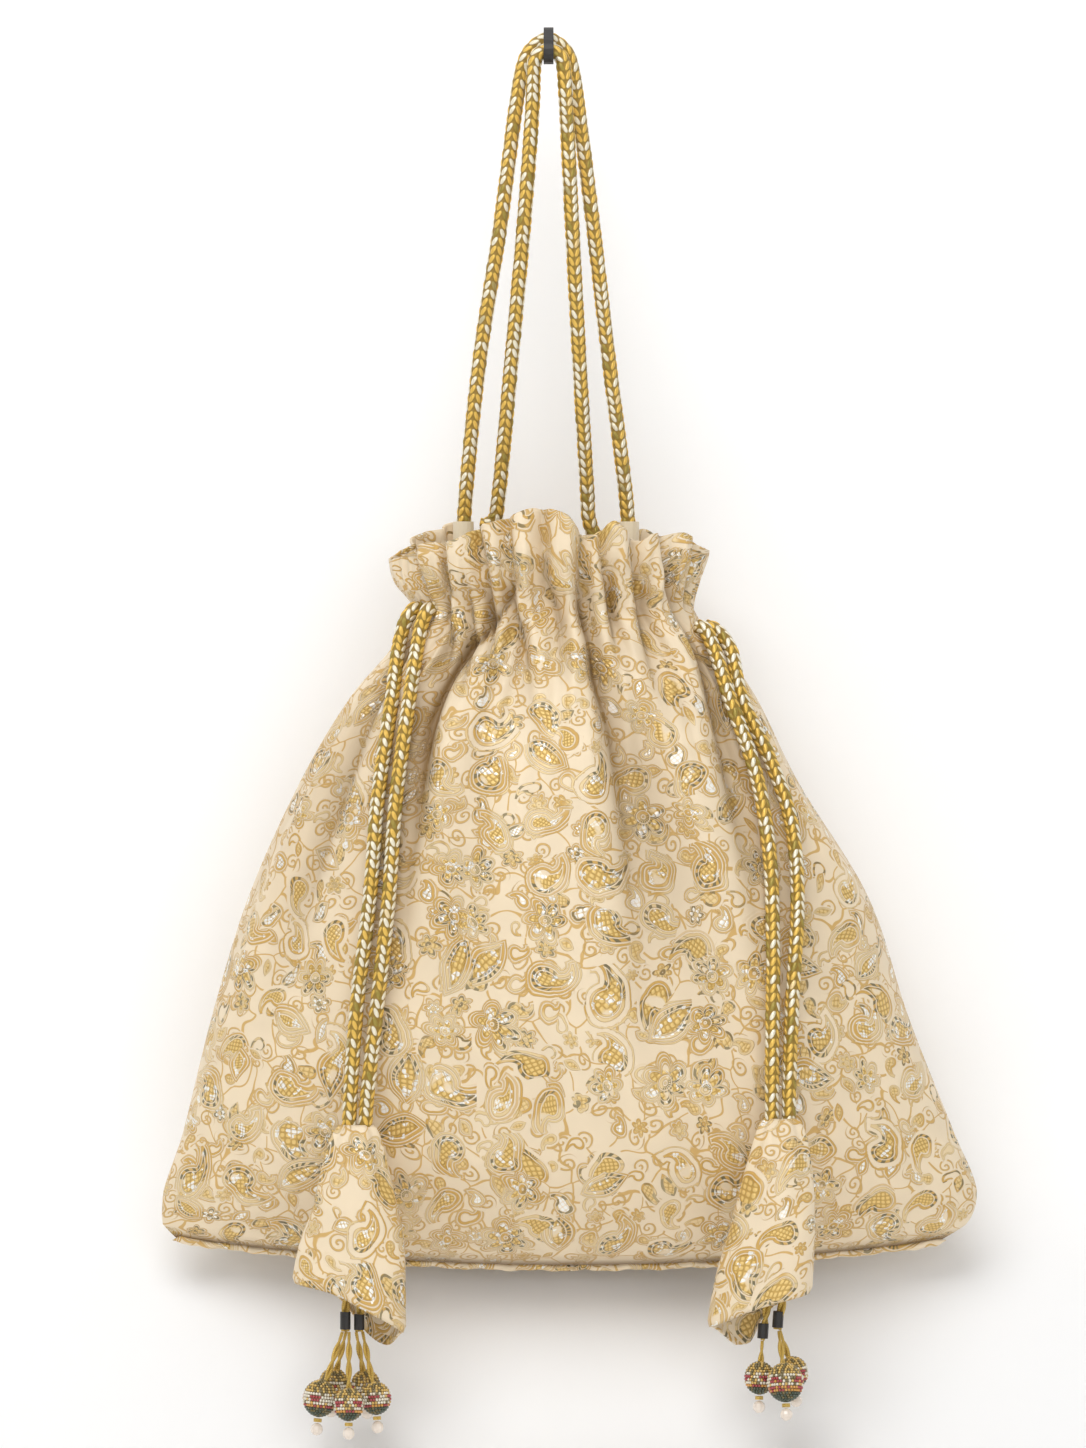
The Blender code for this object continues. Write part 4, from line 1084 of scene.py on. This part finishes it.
def braid(name, path, diameter, plait, body, node, seed):
    """A round cord of slanted stitches in columns that lean against each other, so that pairs make a V."""
    ahead, side, across = frames_along(path)
    count = len(path)
    run = np.concatenate(([0.0], np.cumsum(np.linalg.norm(np.diff(path, axis=0), axis=1))))
    start = seed * PLAIT_START * plait
    turn = np.linspace(0, 1, PLAIT_ROUND, endpoint=False)
    column = np.floor(turn * PLAIT_COLUMNS).astype(int)
    within = turn * PLAIT_COLUMNS - column
    lean = np.where(column % 2 == 0, within, 1 - within)
    stitch = (run[:, None] + start) / plait + lean[None, :] * PLAIT_SLANT
    part = stitch - np.floor(stitch)
    bulge = np.sin(np.pi * np.clip(within, 0.02, 0.98))[None, :] ** 0.5
    swell = np.sin(np.pi * np.clip(part, 0.0, 1.0)) ** 0.6 * bulge
    radius = diameter / 2 - PLAIT_RISE + PLAIT_RISE * 1.25 * swell
    radius[0] *= 0.2
    radius[-1] *= 0.2
    bearing = 2 * math.pi * turn
    cos, sin = np.cos(bearing)[None, :, None], np.sin(bearing)[None, :, None]
    ring = cos * side[:, None, :] + sin * across[:, None, :]
    points = path[:, None, :] + ring * radius[:, :, None]
    verts = (points * MM).reshape(-1, 3)
    faces = []
    table = []
    share = PLAIT_COLUMNS / PLAIT_ROUND
    for r in range(count - 1):
        low, high = (start + run[r]) * MM, (start + run[r + 1]) * MM
        for c in range(PLAIT_ROUND):
            faces.append(quad(r, c, PLAIT_ROUND))
            table += [(c * share, low), (c * share, high), ((c + 1) * share, high), ((c + 1) * share, low)]
    for end in (0, count - 1):
        loop = [end * PLAIT_ROUND + c for c in range(PLAIT_ROUND)]
        faces.append(loop if end == 0 else loop[::-1])
        table += [(0.5, 0.0)] * PLAIT_ROUND
    mesh = closed_mesh(name, verts.tolist(), faces, "plait", table)
    return new_piece(name, mesh, "braided_cord", body, node)


def lay_cord(name, route, body, node, seed):
    sizes = bpy.context.scene.potli_sizes
    path = smooth_route(route, PLAIT_STEP)
    piece = braid(name, path, sizes.cord / MM, sizes.plait / MM, body, node, seed)


class POTLI_OT_handle(bpy.types.Operator):
    """Braids the handle's two cords and finishes the band at their bend and the tabs at their feet"""

    bl_idname = "potli.handle"
    bl_label = "Handle"

    def execute(self, context):
        for n, (part, route) in enumerate(HANDLE_ROUTES.items()):
            carried = [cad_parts["handle_band"]] if part == "inner" else []
            lay_cord("handle_braid_" + part, route, "bag", "handle_cord_" + part, 5 + n)
        finish_node("handle_band", "black_sleeve")
        for side in ("left", "right"):
            finish_node("handle_tab_" + side, "lining_satin")
        return {"FINISHED"}


class POTLI_OT_drawcords(bpy.types.Operator):
    """Braids the drawcords' strands and gives their hidden turns in the channel a gold thread finish"""

    bl_idname = "potli.drawcords"
    bl_label = "Drawcords"

    def execute(self, context):
        for side in ("left", "right"):
            finish_node(side + "_drawcord_loop", "gold_thread")
            for n, part in enumerate(("outer", "inner")):
                name, node = f"{side}_strand_{part}", f"{side}_drawcord_{part}"
                seed = 11 + 3 * n + len(side)
                lay_cord(name, STRAND_ROUTES[side, part], side + "_tassel", node, seed)
        return {"FINISHED"}


def bell_surface(side, angle, share):
    form = BELLS[side]
    sections = Table(form["sections"], 0.01)
    middle, wide, deep, y = (sections(share, n) for n in range(4))
    end_middle, end_wide = form["sections"][-1][1:3]
    across = end_middle + end_wide * np.cos(angle)
    front, back = Table(form["front_rim"]), Table(form["back_rim"])
    edge = np.where(np.sin(angle) > 0, back(across, 0), front(across, 0))
    drop = form["top"] + (edge - form["top"]) * share
    away = (np.degrees(angle) - BELL_FOLD) / BELL_FOLD_WIDE
    fold = form["crease"] * smooth(0.15, 0.7, share) * np.exp(-(away**2))
    pleat = 0.5 * np.cos(7 * angle + 2.0) * (1 - smooth(0.1, 0.6, share))
    pleat += 0.8 * np.sin(3 * angle + 4 * share) * smooth(0.2, 0.7, share)
    dome = 0.70 + 0.30 * np.sqrt(1 - (1 - np.clip(share / 0.13, 0, 1)) ** 2)
    hem = 1 - 0.05 * smooth(0.965, 1.0, share)
    wide, deep = wide * dome * hem, deep * dome * hem
    return np.stack(
        (middle + (wide + pleat) * np.cos(angle), y + (deep - fold + pleat) * np.sin(angle), -drop), axis=-1
    )


class POTLI_OT_bells(bpy.types.Operator):
    """Folds the cloth bells round the drawcords' ends"""

    bl_idname = "potli.bells"
    bl_label = "Bells"

    def execute(self, context):
        cloth = context.scene.potli_sizes.cloth
        angle = np.linspace(0, 2 * math.pi, BELL_ROUND, endpoint=False)
        angles, shares = np.meshgrid(angle, np.linspace(0, 1, BELL_ROWS))
        for side in ("left", "right"):
            points = bell_surface(side, angles, shares)
            maps = cloth_maps(points)
            maps[:, :, 0] += 0.31 if side == "left" else 0.53
            mesh = grid_mesh(side + "_cloth_bell", points, maps)
            thicken(new_piece(side + "_cloth_bell", mesh, "brocade", side + "_tassel", side + "_bell"), cloth)
        return {"FINISHED"}


class POTLI_OT_bindings(bpy.types.Operator):
    """Twists the thread stems through their black sleeves"""

    bl_idname = "potli.bindings"
    bl_label = "Bindings"

    def execute(self, context):
        for side, ends in BINDINGS.items():
            for n, (start, end) in enumerate(ends, 1):
                finish_node(f"{side}_binding_{n}", "black_sleeve")
                name = f"{side}_stem_{n}_twist"
                twisted(name, Vector(start), Vector(end), STEM_PLY, side + "_tassel", f"{side}_stem_{n}")
        return {"FINISHED"}


class POTLI_OT_drops(bpy.types.Operator):
    """Nets the beaded balls and finishes their threads, caps and pearls"""

    bl_idname = "potli.drops"
    bl_label = "Drops"

    def execute(self, context):
        seed_size = context.scene.potli_sizes.seed / MM
        for side, drops in DROPS.items():
            for n, (top, centre, radius) in enumerate(drops, 1):
                name = f"{side}_drop_{n}"
                top, centre = Vector(top), Vector(centre)
                beaded_ball(name, top, centre, radius, seed_size, n + len(side))
                end = centre + (top - centre).normalized() * (radius * 0.92)
                twisted(name + "_twist", top, end, THREAD_PLY, name, name + "_thread", THREAD_TAPER)
                for part, slot in (("cap", "gold_thread"), ("pearl", "pearl")):
                    finish_node(f"{name}_{part}", slot)
        return {"FINISHED"}


def bead_colour(level, turn, dice):
    """A seed bead's colour by its height, from 0 at the cap to 1 at the thread, and its place round."""
    if level > 0.84:
        return BEAD_GOLD if dice.random() < 0.5 else BEAD_OLIVE
    if level > 0.70:
        return BEAD_GOLD if (turn * 14) % 1.0 < 0.62 else BEAD_OLIVE
    if level > 0.34:
        petal = math.hypot(((turn * 4) % 1.0 - 0.5) * 1.3, (level - 0.52) * 4.0)
        if petal < 0.34:
            return BEAD_RED if petal > 0.1 else BEAD_AMBER
        if dice.random() < 0.14:
            return BEAD_OLIVE
        return BEAD_WHITE if dice.random() < 0.80 else BEAD_GOLD
    if level > 0.22:
        return BEAD_AMBER if dice.random() < 0.55 else BEAD_RED
    return BEAD_GREEN if dice.random() < 0.7 else BEAD_OLIVE


def twisted(name, top, end, ply_size, body, node, taper=0.0):
    """Two plies of metal thread wound round each other, thinner over a length of taper at the top."""
    along_thread = (end - top).normalized()
    side = along_thread.cross(Vector((0, 1, 0))).normalized()
    front = along_thread.cross(side)
    count = max(12, round((end - top).length / 0.35))
    run = np.linspace(0, (end - top).length, count + 1)
    girth = 0.5 + 0.5 * smooth(0, taper, run) if taper else np.ones(count + 1)
    verts, faces = [], []
    for ply in (0.0, math.pi):
        base = len(verts)
        path = []
        for n in range(count + 1):
            share = n / count
            turn = ply + share * (end - top).length / THREAD_PITCH * math.tau
            off = (side * math.cos(turn) + front * math.sin(turn)) * ply_size * 0.45 * girth[n]
            path.append(top.lerp(end, share) + off)
        path = np.array(path)
        ahead, across, up = frames_along(path, (1.0, 0.0, 0.0))
        for n in range(count + 1):
            for k in range(PLY_ROUND):
                angle = math.tau * k / PLY_ROUND
                reach = girth[n] * ply_size / 2 * (across[n] * math.cos(angle) + up[n] * math.sin(angle))
                verts.append(((path[n] + reach) * MM).tolist())
        for n in range(count):
            for k in range(PLY_ROUND):
                faces.append(quad(n, k, PLY_ROUND, base))
        faces.append([base + k for k in range(PLY_ROUND)])
        faces.append([base + count * PLY_ROUND + k for k in reversed(range(PLY_ROUND))])
    return new_piece(name, closed_mesh(name, verts, faces), "gold_thread", body, node)


def seed_bead(radius):
    """A seed bead's points and faces. The sphere's faces come in no fixed order, so they are sorted."""
    bpy.ops.object.select_all(action="DESELECT")
    bpy.ops.mesh.primitive_uv_sphere_add(segments=7, ring_count=5, radius=radius)
    bead = bpy.context.active_object
    points = np.array([v.co[:] for v in bead.data.vertices])
    sides = sorted(tuple(p.vertices) for p in bead.data.polygons)
    bpy.data.objects.remove(bead)
    return points, sides


def beaded_ball(name, top, centre, radius, seed_size, seed):
    """A ball covered by rings of seed beads, laid in brick order."""
    dice = random.Random(seed)
    lean = (centre - top).normalized()
    below = (lean + Vector((0, 0, -2))).normalized()
    turn_all = (-below).to_track_quat("Z", "Y").to_matrix()
    pattern, sides = seed_bead(seed_size / 2 * MM)
    core = radius - seed_size * 0.52
    rows = max(6, round(math.pi * core / (seed_size * 0.92)))
    verts, faces, tints = [], [], []
    for row in range(rows):
        polar = math.pi * (row + 0.5) / rows
        level, flat = math.cos(polar), math.sin(polar)
        around = max(5, round(2 * math.pi * core * flat / seed_size))
        for k in range(around):
            spin = (k + 0.5 * (row % 2)) / around
            bearing = math.tau * spin
            out = Vector((flat * math.cos(bearing), flat * math.sin(bearing), level))
            place = Vector((out.x * core, out.y * core, out.z * core * BALL_TALL))
            turn = out.to_track_quat("X", "Z").to_matrix()
            spot = turn_all @ place + centre
            matrix = np.array(turn_all @ turn)
            base = len(verts)
            verts += (pattern @ matrix.T + np.array(spot) * MM).tolist()
            faces += [tuple(base + v for v in side) for side in sides]
            colour = bead_colour((level + 1) / 2, spin, dice)
            tints += [(*colour, 1.0)] * sum(len(side) for side in sides)
    shape = bmesh.new()
    bmesh.ops.create_icosphere(shape, subdivisions=3, radius=(core - seed_size * 0.12) * MM)
    placed = Matrix.Translation(centre * MM) @ turn_all.to_4x4() @ Matrix.Diagonal((1, 1, BALL_TALL, 1))
    bmesh.ops.transform(shape, matrix=placed, verts=shape.verts)
    base = len(verts)
    verts += [tuple(v.co) for v in shape.verts]
    for face in shape.faces:
        faces.append(tuple(base + v.index for v in face.verts))
        tints += [(*BEAD_CORE, 1.0)] * 3
    shape.free()
    mesh = bpy.data.meshes.new(name + "_beading")
    mesh.from_pydata(verts, [], faces)
    layer = mesh.color_attributes.new("tint", "FLOAT_COLOR", "CORNER")
    layer.data.foreach_set("color", np.array(tints, dtype=np.float32).ravel())
    mesh.shade_smooth()
    return new_piece(name + "_beading", mesh, "seed_beads", name, name + "_ball")


class POTLI_OT_piping(bpy.types.Operator):
    """Sews the narrow wavy edge along the pouch's seam"""

    bl_idname = "potli.piping"
    bl_label = "Piping"

    def execute(self, context):
        across = np.linspace(PIPING_ENDS[0], PIPING_ENDS[1], PIPING_POINTS)
        turn = np.linspace(0, 2 * math.pi, PIPING_ROUND, endpoint=False)
        xs, turns = np.meshgrid(across, turn, indexing="ij")
        low = (
            SEAM_DROP + sag(xs, np.full_like(xs, SEAM_DROP)) + 0.9
            + 0.22 * np.sin(xs / 2.6) + 0.15 * np.sin(xs / 1.1)
        )
        ends = smooth(0, 3, xs - PIPING_ENDS[0]) * smooth(0, 3, PIPING_ENDS[1] - xs) * 0.9 + 0.1
        deep = (1.7 + 0.25 * np.sin(xs / 3.7)) * ends
        ys = deep * np.cos(turns) + 0.4 * np.sin(xs / 9)
        points = np.stack((xs, ys, -low + 1.35 * ends * np.sin(turns)), axis=-1)
        mesh = grid_mesh("seam_edge", points, cloth_maps(points, False), end="caps")
        new_piece("seam_edge", mesh, "brocade", "bag", "bottom_piping")
        return {"FINISHED"}


class POTLI_OT_stage(bpy.types.Operator):
    """Sets the pale backdrop and floor, the lamps, the world and the camera"""

    bl_idname = "potli.stage"
    bl_label = "Stage"

    def execute(self, context):
        scene = context.scene
        scene.view_settings.view_transform = "Standard"
        self.backdrop(scene)
        for name, (place, size, power) in LAMPS.items():
            self.lamp(name, place, size, power)
        world = bpy.data.worlds.new("studio")
        scene.world = world
        world.use_nodes = True
        world.node_tree.nodes["Background"].inputs[0].default_value = (1.0, 1.0, 1.0, 1.0)
        world.node_tree.nodes["Background"].inputs[1].default_value = WORLD_LIGHT
        self.camera(scene)
        return {"FINISHED"}

    def backdrop(self, scene):
        outline = []
        table = Table([(drop, depth) for drop, depth in SWEEP], 2.0)
        for drop, depth in zip(table.keys, table.values[:, 0]):
            outline.append((depth * MM, -drop * MM))
        outline = outline[::-1]
        verts = [(x, y, z) for y, z in outline for x in (-PAPER_HALF, PAPER_HALF)]
        faces = [(2 * n, 2 * n + 1, 2 * n + 3, 2 * n + 2) for n in range(len(outline) - 1)]
        mesh = bpy.data.meshes.new("backdrop")
        mesh.from_pydata(verts, [], faces)
        mesh.shade_smooth()
        backdrop = bpy.data.objects.new("backdrop", mesh)
        scene.collection.objects.link(backdrop)
        paper = bpy.data.materials.new("paper")
        paper.use_nodes = True
        tree = paper.node_tree
        tree.nodes.clear()
        diffuse, glow, place, height, upper, both, clear, side, pick, out = (
            tree.nodes.new("ShaderNode" + kind)
            for kind in ("BsdfDiffuse", "Emission", "TexCoord", "SeparateXYZ", "MapRange", "AddShader",
                         "BsdfTransparent", "NewGeometry", "MixShader", "OutputMaterial")
        )
        diffuse.inputs[0].default_value = (PAPER, PAPER, PAPER, 1.0)
        upper.interpolation_type = "SMOOTHSTEP"
        upper.inputs["From Min"].default_value = GLOW_FADE[0]
        upper.inputs["From Max"].default_value = GLOW_FADE[1]
        upper.inputs["To Max"].default_value = WALL_GLOW
        glow.inputs[1].default_value = 1.0
        for source, target in (
            (place.outputs["Object"], height.inputs[0]), (height.outputs["Z"], upper.inputs["Value"]),
            (upper.outputs[0], glow.inputs[0]), (diffuse.outputs[0], both.inputs[0]),
            (glow.outputs[0], both.inputs[1]), (side.outputs["Backfacing"], pick.inputs[0]),
            (both.outputs[0], pick.inputs[1]), (clear.outputs[0], pick.inputs[2]),
            (pick.outputs[0], out.inputs[0]),
        ):
            tree.links.new(source, target)
        mesh.materials.append(paper)

    def lamp(self, name, place, size, power):
        data = bpy.data.lights.new(name, "AREA")
        data.shape = "DISK"
        data.size = size
        data.energy = power
        lamp = bpy.data.objects.new(name, data)
        lamp.location = place
        aim = Vector(AIM) - Vector(place)
        lamp.rotation_euler = aim.to_track_quat("-Z", "Y").to_euler()
        bpy.context.scene.collection.objects.link(lamp)

    def camera(self, scene):
        data = bpy.data.cameras.new("camera")
        data.sensor_fit = "VERTICAL"
        data.sensor_height = SENSOR
        data.lens = SENSOR * CAMERA_AWAY / FIELD_HEIGHT
        camera = bpy.data.objects.new("camera", data)
        camera.location = (FIELD_MIDDLE[0], -CAMERA_AWAY - FIELD_FRONT, FIELD_MIDDLE[1])
        camera.rotation_euler = (math.pi / 2, 0, 0)
        scene.collection.objects.link(camera)
        scene.camera = camera


class POTLI_PT_panel(bpy.types.Panel):
    """The bag's operators and settings in the sidebar"""

    bl_idname = "POTLI_PT_panel"
    bl_label = "Potli Bag"
    bl_space_type = "VIEW_3D"
    bl_region_type = "UI"
    bl_category = "Potli Bag"

    def draw(self, context):
        for group in (context.scene.potli_sizes, context.scene.potli_colours):
            for name in group.__annotations__:
                self.layout.prop(group, name)
        for step in STEPS:
            self.layout.operator(step.bl_idname)


STEPS = (
    POTLI_OT_stage,
    POTLI_OT_pouch,
    POTLI_OT_lining,
    POTLI_OT_piping,
    POTLI_OT_handle,
    POTLI_OT_bells,
    POTLI_OT_bindings,
    POTLI_OT_drawcords,
    POTLI_OT_drops,
)
CLASSES = (POTLI_PG_sizes, POTLI_PG_colours, *STEPS, POTLI_PT_panel)


def register():
    for kind in CLASSES:
        bpy.utils.register_class(kind)
    bpy.types.Scene.potli_sizes = PointerProperty(type=POTLI_PG_sizes)
    bpy.types.Scene.potli_colours = PointerProperty(type=POTLI_PG_colours)


def unregister():
    del bpy.types.Scene.potli_colours
    del bpy.types.Scene.potli_sizes
    for kind in reversed(CLASSES):
        bpy.utils.unregister_class(kind)


def main():
    register()
    for step in STEPS:
        group, name = step.bl_idname.split(".")
        getattr(getattr(bpy.ops, group), name)()


if __name__ == "__main__":
    main()
